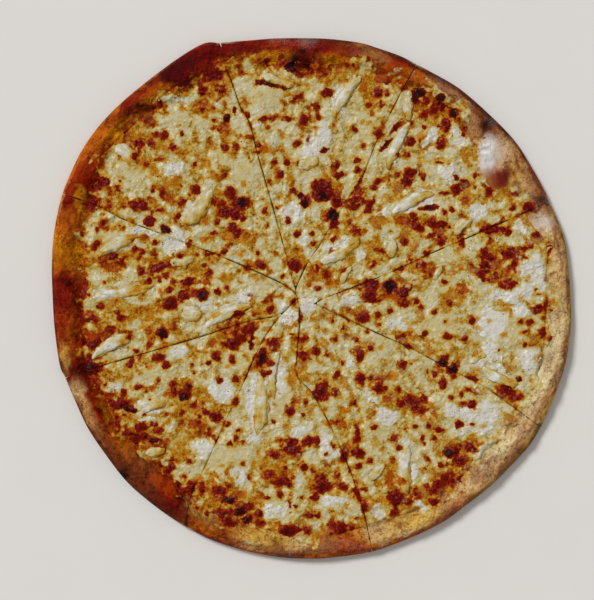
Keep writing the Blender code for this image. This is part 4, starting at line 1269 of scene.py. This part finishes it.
def lay(piece_mesh, name, finish, slot, *nodes):
    """Makes an object of the mesh, which takes the place of the nodes."""
    piece_mesh.materials.append(finish)
    piece = bpy.data.objects.new(name, piece_mesh)
    bpy.context.scene.collection.objects.link(piece)
    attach(piece, "root")
    if nodes:
        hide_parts(*nodes)
    return piece


PATCH_EDGES = (  # a patch fades in between these two depths, in millimetres
    ("white", WHITE_PATCHES, -1.3, 2.4), ("ochre", OCHRE_PATCHES, -2.5, 3.5),
    ("browned", BROWNED_PATCHES, -1.6, 2.0), ("smooth", SMOOTH_PATCHES, -1.5, 2.5),
)


def store_spots(mesh, closely):
    """Keeps how deep each point lies in the blisters and in the amber and charred spots."""
    store(mesh, "blister", depth_in(closely, BLISTERS))
    store(mesh, "amber", depth_in(closely, AMBER_SPOTS))
    store(mesh, "charred", depth_in(closely, CHARRED))


def store_cheese_looks(mesh, sides):
    """Keeps all that the finish of the cheese reads."""
    points, _ = plan_of(mesh)
    softly = wobble(wobble(points, 0.007, 0.0022, 31), 0.0022, 0.0006, 33)
    closely = wobble(points, 0.0028, 0.00060, 32)
    store_spots(mesh, closely)
    for name, patches, low, high in PATCH_EDGES:
        store(mesh, name, smoothstep(low, high, depth_in(softly, patches)))
    toasted_side = 0.2 + 0.8 * smoothstep(-0.35, 0.45, -np.cos(bearing_of(points) + math.radians(20)))
    within = inside_film(wobble(wobble(points, 0.018, 0.0038, 34), 0.006, 0.0020, 35))
    store(mesh, "margin", (1 - smoothstep(0.001, 0.015, within)) * toasted_side)
    bare = 1.6 * smoothstep(-1.0, 0.8, depth_in(closely, BARE_PATCHES))
    store(mesh, "brink", np.maximum(1 - smoothstep(0.0, 0.0095, within), bare))
    store(mesh, "cut", 1 - smoothstep(0.0002, 0.0016, distance_to(points, sides)))
    store(mesh, "taut", stretched(points))
    store_tone(mesh, points)


cheeses = []
for index in range(8):
    name = f"slice_{index + 1}"
    outline = cheese_outline(index)
    sides = sides_of(index)
    mesh = layer_mesh(
        f"{name}_melted_cheese",
        outline,
        lattice(outline, FINE, FINE * 0.5),
        lattice(outline, COARSE, COARSE * 0.3),
        lambda points: cheese_height(points, distance_to(points, sides) - CUT_WIDTH / 2),
        lambda points: crust_height(points) + FILM_EDGE / 3,
    )
    store_cheese_looks(mesh, sides)
    cheeses.append(lay(mesh, f"{name}_melted_cheese", CHEESE_FINISH, "cheese", f"{name}_cheese"))
    print(name, "cheese:", len(mesh.polygons), "triangles")

# %% [markdown]
# ## The finish of the crust
# The colour of the rim is stored with its points, so the finish adds what is finer than a
# millimetre or two: mottling, darker freckles where small bubbles burnt, a dust of flour, and the
# pale crumb that shows where the wheel cut through. A stretched bubble has little of it.

# %% Baked crust
CRUMB = seen(206, 178, 128)
UNDERSIDE = seen(176, 124, 70)
SCORCHED = seen(104, 52, 24)
FLOUR = seen(214, 202, 184)


def crust_finish():
    f = Finish("baked crust")
    painted = f.stored("tone", "Color")
    broad, fine, grain = f.noise(0.009, 3), f.noise(0.0024, 4, 0.65), f.noise(0.0009, 3, 0.6)
    taut = f.stored("taut")
    colour = f.mix(taut * 0.75, f.mottled(painted), painted)
    freckle = f.specks(0.0026, 0.22, 0.16) * 0.35 * (1 - taut)
    colour = f.mix(freckle, colour, f.times(colour, (0.52, 0.34, 0.22)))
    dusty = f.between(f.noise(0.02, 2) + grain * 0.8 + f.stored("dust") * 0.4, 1.3, 1.6)
    colour = f.mix(dusty * 0.15, colour, FLOUR)

    below = f.mix(f.between(broad * 0.5 + fine * 0.5, 0.46, 0.6), UNDERSIDE, SCORCHED)
    below = f.mix(f.between(f.noise(0.016, 3), 0.5, 0.64) * 0.5, below, FLOUR)
    colour = f.mix(f.stored("under"), colour, below)
    facing = f.node("ShaderNodeNewGeometry", output="True Normal")
    upright = f.node("ShaderNodeSeparateXYZ", {}, {0: facing}, 2)
    steep = 1 - f.between(upright * upright, 0.02, 0.35)
    colour = f.mix(steep * f.stored("cut"), colour, f.mix(f.between(fine, 0.4, 0.62), CRUMB, UNDERSIDE))
    f.set(
        base_color=colour,
        roughness=0.62 + 0.2 * (fine - 0.5),
        specular_ior_level=0.05,
        normal=f.bump((fine * 0.6 + grain * 0.4) * (1 - 0.85 * taut), 0.0009),
    )
    return f.material


CRUST_FINISH = crust_finish()
print("nodes in the crust's finish:", len(CRUST_FINISH.node_tree.nodes))

# %% [markdown]
# ## Baking the crust
# Crags on the rim are random fields at three sizes, plus small blisters of dough. The wall at the
# outer edge bends in to the flat underside. The part of the dough that the cheese covers needs no
# detail, so its lattice is coarse, and the fine one is kept for the rim.

# %% The crust of the eight slices
HIDDEN_SPACING = 0.005
UNDER_FILM = 0.0004  # the dough lies this much lower under the film of cheese
TUCK_FROM = 0.006  # so far from the edge the underside starts to draw in
DUSTY = (150, 300)  # between these pixels, from left to right, the flour sets in


def store_crust_looks(mesh, sides):
    """Keeps all that the finish of the crust reads."""
    points, heights = plan_of(mesh)
    store_tone(mesh, points)
    store(mesh, "under", heights < EDGE_HEIGHT * 0.5)
    store(mesh, "taut", stretched(points))
    store(mesh, "cut", 1 - smoothstep(0.0001, 0.0012, distance_to(points, sides) - CUT_WIDTH / 2))
    store(mesh, "dust", smoothstep(*DUSTY, points[:, 0] / PIXEL + PHOTO_MIDDLE[0]))


for index in range(8):
    name = f"slice_{index + 1}"
    outline = crust_outline(index)
    sides = sides_of(index)
    rim_points = lattice(outline, FINE, FINE * 0.5)
    hidden_points = lattice(outline, HIDDEN_SPACING, HIDDEN_SPACING * 0.4)
    rim_points = rim_points[edge_and_rise(rim_points)[1] > -0.15]
    hidden_points = hidden_points[edge_and_rise(hidden_points)[1] < -0.30]
    from_edge = edge_and_rise(outline)[0]
    inward = (middle - outline) / np.linalg.norm(outline - middle, axis=1)[:, None]
    tucked = outline + inward * (EDGE_TUCK * np.clip(1 - from_edge / TUCK_FROM, 0, 1))[:, None]
    mesh = layer_mesh(
        f"{name}_baked_crust",
        outline,
        np.concatenate([rim_points, hidden_points]),
        lattice(tucked, COARSE, COARSE * 0.3),
        lambda points: crust_height(points) - UNDER_FILM * smoothstep(0.0002, 0.0014, inside_film(points)),
        lambda points: np.zeros(len(points)),
        tucked,
        from_edge < 0.0005,
    )
    store_crust_looks(mesh, sides)
    lay(mesh, f"{name}_baked_crust", CRUST_FINISH, "crust", f"{name}_crust")
    print(name, "crust:", len(mesh.polygons), "faces")

# %% [markdown]
# ## Torn chicken
# Cooked chicken tears along its fibres into long flakes. Such a flake follows a rule, so Geometry
# Nodes make it: a ball stretched to the flake's size, whose surface is pushed out by a noise that
# is stretched the same way, so its ridges run lengthwise. The modifier gets the sizes and a seed.
# The flake is then turned, laid on the cheese and sunk into it a little.

# %% A node group that makes one flake of chicken
CHICKEN = (  # x, y in pixels; length, width and height in millimetres; bearing in degrees
    (197, 208, 35, 12, 4.4, 50), (126, 155, 22, 11, 3.6, -45), (279, 80, 26, 8, 4.2, -20),
    (347, 97, 38, 9, 4.6, 57), (308, 162, 17, 10, 3.4, 10), (399, 146, 39, 8, 4.6, 65),
    (407, 110, 18, 7, 3.4, 95), (413, 203, 36, 9, 4.2, 25), (340, 250, 36, 10, 4.4, 32),
    (347, 275, 16, 5, 3.2, 58), (391, 248, 14, 8, 3.6, 80), (463, 226, 18, 8, 3.4, 45),
    (437, 273, 12, 5, 3.0, 60), (478, 359, 14, 6, 3.2, 30), (501, 377, 30, 9, 4.6, -25),
    (407, 470, 38, 10, 4.6, 90), (376, 472, 16, 7, 3.2, 45), (276, 375, 37, 6, 4.0, 84),
    (258, 405, 46, 12, 4.4, 88), (152, 406, 24, 11, 3.8, 15), (155, 451, 16, 8, 3.8, 10),
    (112, 347, 34, 10, 4.6, 28), (192, 314, 16, 11, 3.4, 0), (228, 316, 38, 9, 4.2, 25),
    (126, 289, 42, 8, 4.0, 8), (118, 246, 33, 9, 4.0, 25), (182, 260, 20, 8, 3.4, 10),
)


class Nodes(Graph):
    """A Geometry Nodes group under construction; its inputs are named by their kind."""

    def __init__(self, name, **inputs):
        self.tree = bpy.data.node_groups.new(name, "GeometryNodeTree")
        self.sockets = {}
        add = self.tree.interface.new_socket
        add("Geometry", in_out="INPUT", socket_type="NodeSocketGeometry")
        for kind, titles in inputs.items():
            for title in titles.split():
                made = add(title, in_out="INPUT", socket_type="NodeSocket" + kind)
                self.sockets[title] = made.identifier
        add("Geometry", in_out="OUTPUT", socket_type="NodeSocketGeometry")
        group_input = self.tree.nodes.new("NodeGroupInput")
        self.given = {socket.name: Amount(self, socket) for socket in group_input.outputs}

    def close(self, shape, finish):
        """Gives the shape its finish and sends it out of the group."""
        dressed = self.node("GeometryNodeSetMaterial", {}, {"Geometry": shape, "Material": finish})
        self.feed(self.tree.nodes.new("NodeGroupOutput").inputs[0], dressed)

    def apply(self, piece, **values):
        """Runs the group on a piece and gives the plain mesh that comes out."""
        modifier = piece.modifiers.new(self.tree.name, "NODES")
        modifier.node_group = self.tree
        for title, value in values.items():
            modifier[self.sockets[title]] = value
        made = piece.evaluated_get(bpy.context.evaluated_depsgraph_get())
        mesh = bpy.data.meshes.new_from_object(made)
        piece.modifiers.remove(modifier)
        return mesh


FIBRES, LUMPS = 380.0, 190.0  # how many there are in a metre, across
FIBRE_HEIGHT, LUMP_HEIGHT = 0.0026, 0.0056


def flake_group():
    g = Nodes("torn flake", Float="Length Width Height Seed", Material="Finish")
    ball = g.node("GeometryNodeMeshUVSphere", {}, {"Segments": 56, "Rings": 40, "Radius": 0.5})
    turned = g.node("GeometryNodeTransform", {}, {"Geometry": ball, "Rotation": (0.0, math.pi / 2, 0.0)})
    size = g.node("ShaderNodeCombineXYZ", {}, {
        0: g.given["Length"], 1: g.given["Width"], 2: g.given["Height"]})
    flake = g.node("GeometryNodeTransform", {}, {"Geometry": turned, "Scale": size})
    place = g.node("GeometryNodeInputPosition")
    along = g.node("ShaderNodeVectorMath", {"operation": "MULTIPLY"}, {0: place, 1: (0.14, 1.0, 0.5)})
    fibres = g.node("ShaderNodeTexNoise", {"noise_dimensions": "4D"}, {
        "Vector": along, "W": g.given["Seed"], "Scale": FIBRES, "Detail": 1.0, "Roughness": 0.5})
    lumps = g.node("ShaderNodeTexNoise", {"noise_dimensions": "4D"}, {
        "Vector": place, "W": g.given["Seed"], "Scale": LUMPS, "Detail": 2.0})
    strands = g.node("ShaderNodeMath", {"operation": "ABSOLUTE"}, {0: fibres - 0.5})
    push = strands * FIBRE_HEIGHT + (lumps - 0.55) * LUMP_HEIGHT
    normal = g.node("GeometryNodeInputNormal")
    offset = g.node("ShaderNodeVectorMath", {"operation": "SCALE"}, {0: normal, "Scale": push})
    moved = g.node("GeometryNodeSetPosition", {}, {"Geometry": flake, "Offset": offset})
    g.close(moved, g.given["Finish"])
    return g


FLAKE = flake_group()
print("nodes in the flake group:", len(FLAKE.tree.nodes))

# %% [markdown]
# ## The finish of the chicken
# Most flakes are half covered by cheese, so they are cream, and yellowed where they sit low in it,
# partly as painted shade. The light is painted on them too: the side towards it is paler, a painted
# highlight, and the side turned away is browner, painted shade, with a painted shadow along its low
# edge. The noise is stretched along the flake by reading it on a coordinate stored with the mesh,
# which runs along and across the fibres.

# %% Cooked chicken
def chicken_finish():
    f = Finish("cooked chicken")
    f.place = f.stored("fibre", "Vector")
    fibre, thread = f.noise(0.0030, 3, 0.55), f.noise(0.0011, 2)
    f.place = f.node("ShaderNodeTexCoord", output="Object")
    blotch, grain = f.noise(0.0060, 3), f.noise(0.0013, 3, 0.65)
    low, lit, turned = f.stored("low"), f.stored("lit"), f.stored("turned")
    ragged = (grain - 0.5) * 1.6
    # Painted light: paler on the side towards the light, browner on the side turned away as painted shade,
    # and low parts yellowed, partly as painted shade.
    level = 0.26 - 0.10 * lit + 0.15 * turned + 0.12 * low
    level = level + (fibre - 0.5) * 0.5 + (blotch - 0.5) * 0.9 + (grain - 0.5) * 0.3 + (thread - 0.5) * 0.25
    # Painted shadow: a brown line along the low edge on the side away from the light.
    level = level + 0.34 * f.between(low - 0.5 * lit + (blotch - 0.5) + (grain - 0.5), 0.70, 1.0)
    level = level + 0.17 * f.between(f.stored("blister") + ragged, -1.7, -0.2)
    level = level + 0.3 * f.between(f.stored("amber") + ragged, -0.9, 0.4)
    burst = f.between(f.stored("blister") + ragged * 0.6, -0.3, 0.25)
    level = level * (1 - burst) + 0.85 * burst
    charred = f.stored("charred") + ragged
    level = level + 0.40 * f.between(charred, -0.9, 0.1) * (1 - level)
    colour = f.mix(f.between(charred, 0.0, 0.8) * 0.8, baked(f, level), CHAR)
    relief = f.bump(fibre * 0.6 + thread * 0.4, 0.0004)
    f.set(base_color=colour, roughness=0.5, specular_ior_level=0.08, normal=relief)
    return f.material


CHICKEN_FINISH = chicken_finish()
print("nodes in the chicken's finish:", len(CHICKEN_FINISH.node_tree.nodes))

# %% [markdown]
# ## Laying the flakes
# A flake has no flat underside: its lower half is squeezed flat and follows the cheese just under
# its surface. Each keeps the node of its own plain solid.

# %% Every piece of chicken on its place
SUNK = 0.0004  # the flake's lower half lies this deep in the cheese
BOW = 0.06  # how far a flake bends, as a share of its length
ROUNDNESS = 1.4
FLATTENED = 0.62
TOWARDS_LIGHT = np.array([-0.7, 0.7])

seed_piece = bpy.data.objects.new("seed", bpy.data.meshes.new("seed"))
bpy.context.scene.collection.objects.link(seed_piece)
for index, (x, y, length, width, height, bearing) in enumerate(CHICKEN):
    name = f"chicken_{index + 1:02d}"
    length, width, height = length * MILLIMETRE, width * MILLIMETRE, height * MILLIMETRE
    mesh = FLAKE.apply(
        seed_piece, Length=length, Width=width, Height=2 * height, Seed=index * 1.7, Finish=CHICKEN_FINISH)
    mesh.materials.clear()
    count = len(mesh.vertices)
    shape = np.zeros(count * 3)
    mesh.vertices.foreach_get("co", shape)
    shape = shape.reshape(-1, 3)
    turn = math.radians(bearing)
    along = shape[:, 0]
    across = shape[:, 1] + BOW * length * (1 if index % 2 else -1) * (1 - (along / (length / 2)) ** 2)
    plan = np.stack([
        along * math.cos(turn) - across * math.sin(turn),
        along * math.sin(turn) + across * math.cos(turn),
    ], axis=1) + spot(x, y)
    share = shape[:, 2] / height
    rounded = 1 - (1 - np.clip(share, 0, 1)) ** ROUNDNESS + np.clip(share - 1, 0, 0.3)
    lift = np.where(share > 0, rounded * FLATTENED, share * 0.15) * height
    heights = plain_cheese_height(plan) + lift - SUNK
    mesh.vertices.foreach_set("co", np.column_stack([plan, heights]).ravel())
    fibre = mesh.attributes.new("fibre", "FLOAT_VECTOR", "POINT")
    fibre.data.foreach_set("vector", (shape * [0.12, 1, 1]).astype(np.float32).ravel())
    # How low each point sits on its flake: yellowed there partly by the cheese round it and partly as painted
    # shade.
    store(mesh, "low", 1 - np.clip(lift / (height * 0.5), 0, 1))
    # Painted light: how far each point lies towards the light, for a paler lit side and a browner side turned
    # away.
    sideways = (plan - spot(x, y)) @ TOWARDS_LIGHT / (width / 2)
    store(mesh, "lit", smoothstep(-0.1, 0.75, sideways))
    store(mesh, "turned", smoothstep(-0.1, 0.9, -sideways))
    store_spots(mesh, wobble(plan, 0.0028, 0.00060, 32))
    mesh.shade_smooth()
    lay(mesh, f"{name}_flake", CHICKEN_FINISH, "chicken", name)
bpy.data.objects.remove(seed_piece)
print(len(CHICKEN), "flakes of", count, "points each")

# %% [markdown]
# ## Herbs, toasted grains and curds
# Hundreds of tiny things lie on the pizza, too many to place by hand. Geometry Nodes scatter them:
# points spread over a surface, one small shape on each, turned and sized at random, and then made
# real, because a copy that exists only as an instance is lost when the model is exported.

# %% A node group that scatters a small shape
def scatter_group():
    g = Nodes("scatter", Float="Density Smallest Largest Tilt", Int="Seed", String="Where",
              Object="Shape", Material="Finish")
    seed = g.given["Seed"]
    wanted = g.node("GeometryNodeInputNamedAttribute", {"data_type": "FLOAT"}, {"Name": g.given["Where"]})
    spread = g.node("GeometryNodeDistributePointsOnFaces", {}, {
        "Mesh": g.given["Geometry"], "Density": g.given["Density"] * wanted, "Seed": seed}, "Points")
    shape = g.node("GeometryNodeObjectInfo", {}, {"Object": g.given["Shape"]}, "Geometry")
    most = g.node("ShaderNodeCombineXYZ", {}, {0: g.given["Tilt"], 1: g.given["Tilt"], 2: math.pi})
    least = g.node("ShaderNodeVectorMath", {"operation": "SCALE"}, {0: most, "Scale": -1.0})
    turn = g.node("FunctionNodeRandomValue", {"data_type": "FLOAT_VECTOR"}, {0: least, 1: most, "Seed": seed})
    size = g.node("FunctionNodeRandomValue", {"data_type": "FLOAT"}, {
        2: g.given["Smallest"], 3: g.given["Largest"], "Seed": seed}, 1)
    placed = g.node("GeometryNodeInstanceOnPoints", {}, {
        "Points": spread, "Instance": shape, "Rotation": turn, "Scale": size})
    real = g.node("GeometryNodeRealizeInstances", {}, {0: placed})
    g.close(real, g.given["Finish"])
    return g


SCATTER = scatter_group()
print("nodes in the scatter group:", len(SCATTER.tree.nodes))

# %% [markdown]
# ## What is scattered, and where
# Scraps of dried herb lie everywhere, toasted grains where the cheese has browned and pale curds
# where it is thick and white. Each is a lump of 20 faces, because a shape that is repeated hundreds
# of times has to be light. How dense they lie is stored with the cheese.

# %% Scatter the herbs, grains and curds
def small_shape(name, stretch, seed):
    """A lump with 20 or so faces, about 1 m across, stretched and dented."""
    lump = bmesh.new()
    bmesh.ops.create_icosphere(lump, subdivisions=1, radius=0.5)
    draw = np.random.default_rng(seed)
    for vertex in lump.verts:
        vertex.co = Vector(v * s * draw.uniform(0.7, 1.25) for v, s in zip(vertex.co, stretch))
    mesh = bpy.data.meshes.new(name)
    lump.to_mesh(mesh)
    lump.free()
    shape = bpy.data.objects.new(name, mesh)
    bpy.context.scene.collection.objects.link(shape)
    return shape


def speckled(name, dark, light, size):
    """A finish for grains: one colour drifting into another."""
    f = Finish(name)
    colour = f.mix(f.between(f.noise(size, 2), 0.4, 0.6), dark, light)
    relief = f.bump(f.noise(size * 0.3, 2), 0.0002)
    f.set(base_color=colour, roughness=0.6, specular_ior_level=0.1, normal=relief)
    return f.material


def scatter(name, shape, finish, **sizes):
    """Scatters a shape over the cheese and lays all of it as one piece."""
    mesh = SCATTER.apply(cheese_ground, Shape=shape, Finish=finish, **sizes)
    mesh.materials.clear()
    mesh.shade_smooth()
    print(name, len(mesh.polygons), "faces")
    lay(mesh, name, finish, "cheese")


ground_mesh = bmesh.new()
for cheese in cheeses:
    ground_mesh.from_mesh(cheese.data)
steep_faces = [face for face in ground_mesh.faces if face.normal.z < 0.6]
bmesh.ops.delete(ground_mesh, geom=steep_faces, context="FACES")
cheese_ground = bpy.data.objects.new("cheese ground", bpy.data.meshes.new("cheese ground"))
ground_mesh.to_mesh(cheese_ground.data)
ground_mesh.free()
bpy.context.scene.collection.objects.link(cheese_ground)
plan, _ = plan_of(cheese_ground.data)
herby = 0.4 + 1.2 * smoothstep(-0.2, 0.6, uneven(plan, 0.03, 2, 51))
unburst = (1 - smoothstep(-1.2, -0.2, depth_in(plan, BLISTERS))) * (1 - stretched(plan))
in_browned = depth_in(plan, BROWNED_PATCHES)
toasty = smoothstep(-2, 3, depth_in(plan, OCHRE_PATCHES)) * 0.8 + smoothstep(-2, 2, in_browned)
milky = smoothstep(-1, 1, depth_in(plan, WHITE_PATCHES)) * smoothstep(1, -1, in_browned)
store(cheese_ground.data, "herby", herby * (1 - 0.6 * stretched(plan)))
store(cheese_ground.data, "toasty", toasty * unburst)
store(cheese_ground.data, "milky", milky * unburst)

leaf = small_shape("herb scrap", (1.0, 0.5, 0.12), 3)
grain_shape = small_shape("toasted grain", (1.0, 0.8, 0.45), 4)
HERB = speckled("dried herb", seen(34, 34, 14), seen(70, 66, 26), 0.002)
TOASTED = speckled("toasted grain", seen(136, 56, 8), seen(178, 116, 34), 0.003)
CURD = speckled("pale curd", seen(196, 186, 150), seen(216, 212, 200), 0.003)
scatter("herb_flecks", leaf, HERB, Where="herby", Density=10000.0,
        Smallest=0.0006, Largest=0.0017, Tilt=0.3, Seed=2)
scatter("toasted_grains", grain_shape, TOASTED, Where="toasty", Density=11000.0,
        Smallest=0.0005, Largest=0.0016, Tilt=0.4, Seed=5)
scatter("pale_curds", grain_shape, CURD, Where="milky", Density=9000.0,
        Smallest=0.0007, Largest=0.0022, Tilt=0.4, Seed=8)
for helper in (cheese_ground, leaf, grain_shape):
    bpy.data.objects.remove(helper)

# %% [markdown]
# ## Table, light and camera
# The photograph looks straight down, with the light from the upper left. It is as bright on one
# side of the pizza as on the other, so the lamp is far away, like a wide sun, and a pale sky fills
# the shadows. The camera stands well above the middle of the picture with a long lens, so the rim
# isn't seen at an angle.

# %% The setting
IMAGE = (594, 600)
CAMERA_HEIGHT = 1.6
LAMP_FROM = (-0.66, 0.62, 1.0)
LAMP_SPREAD = math.radians(16)
LAMP_POWER = 2.3
SKY = 0.42
SKY_COLOUR = (1.0, 0.98, 0.95, 1)
SENSOR = 36

bpy.ops.mesh.primitive_plane_add(size=6, location=(0, 0, -0.0004))
floor = bpy.context.object
floor.name = "table"
table = Finish("pale table")
tint = table.mix(table.noise(0.05, 3) * 0.2, (0.72, 0.70, 0.67), (0.62, 0.60, 0.58))
table.set(base_color=tint, roughness=0.7)
floor.data.materials.append(table.material)

lamp = bpy.data.objects.new("lamp", bpy.data.lights.new("lamp", "SUN"))
lamp.data.angle = LAMP_SPREAD
lamp.data.energy = LAMP_POWER
lamp.location = LAMP_FROM
lamp.rotation_euler = Vector(LAMP_FROM).to_track_quat("Z", "Y").to_euler()
bpy.context.scene.collection.objects.link(lamp)

sky = bpy.data.worlds.new("sky")
sky.use_nodes = True
sky.node_tree.nodes["Background"].inputs["Color"].default_value = SKY_COLOUR
sky.node_tree.nodes["Background"].inputs["Strength"].default_value = SKY
bpy.context.scene.world = sky
bpy.context.scene.view_settings.view_transform = "Standard"

camera = bpy.data.objects.new("camera", bpy.data.cameras.new("camera"))
camera.location = (*spot(IMAGE[0] / 2, IMAGE[1] / 2), CAMERA_HEIGHT)
camera.data.sensor_width = SENSOR
camera.data.lens = SENSOR * (CAMERA_HEIGHT - BASE_THICKNESS * 2) / (IMAGE[1] * PIXEL)
camera.data.clip_start = 0.05
bpy.context.scene.collection.objects.link(camera)
bpy.context.scene.camera = camera
print(f"the lens is {camera.data.lens:.0f} mm")
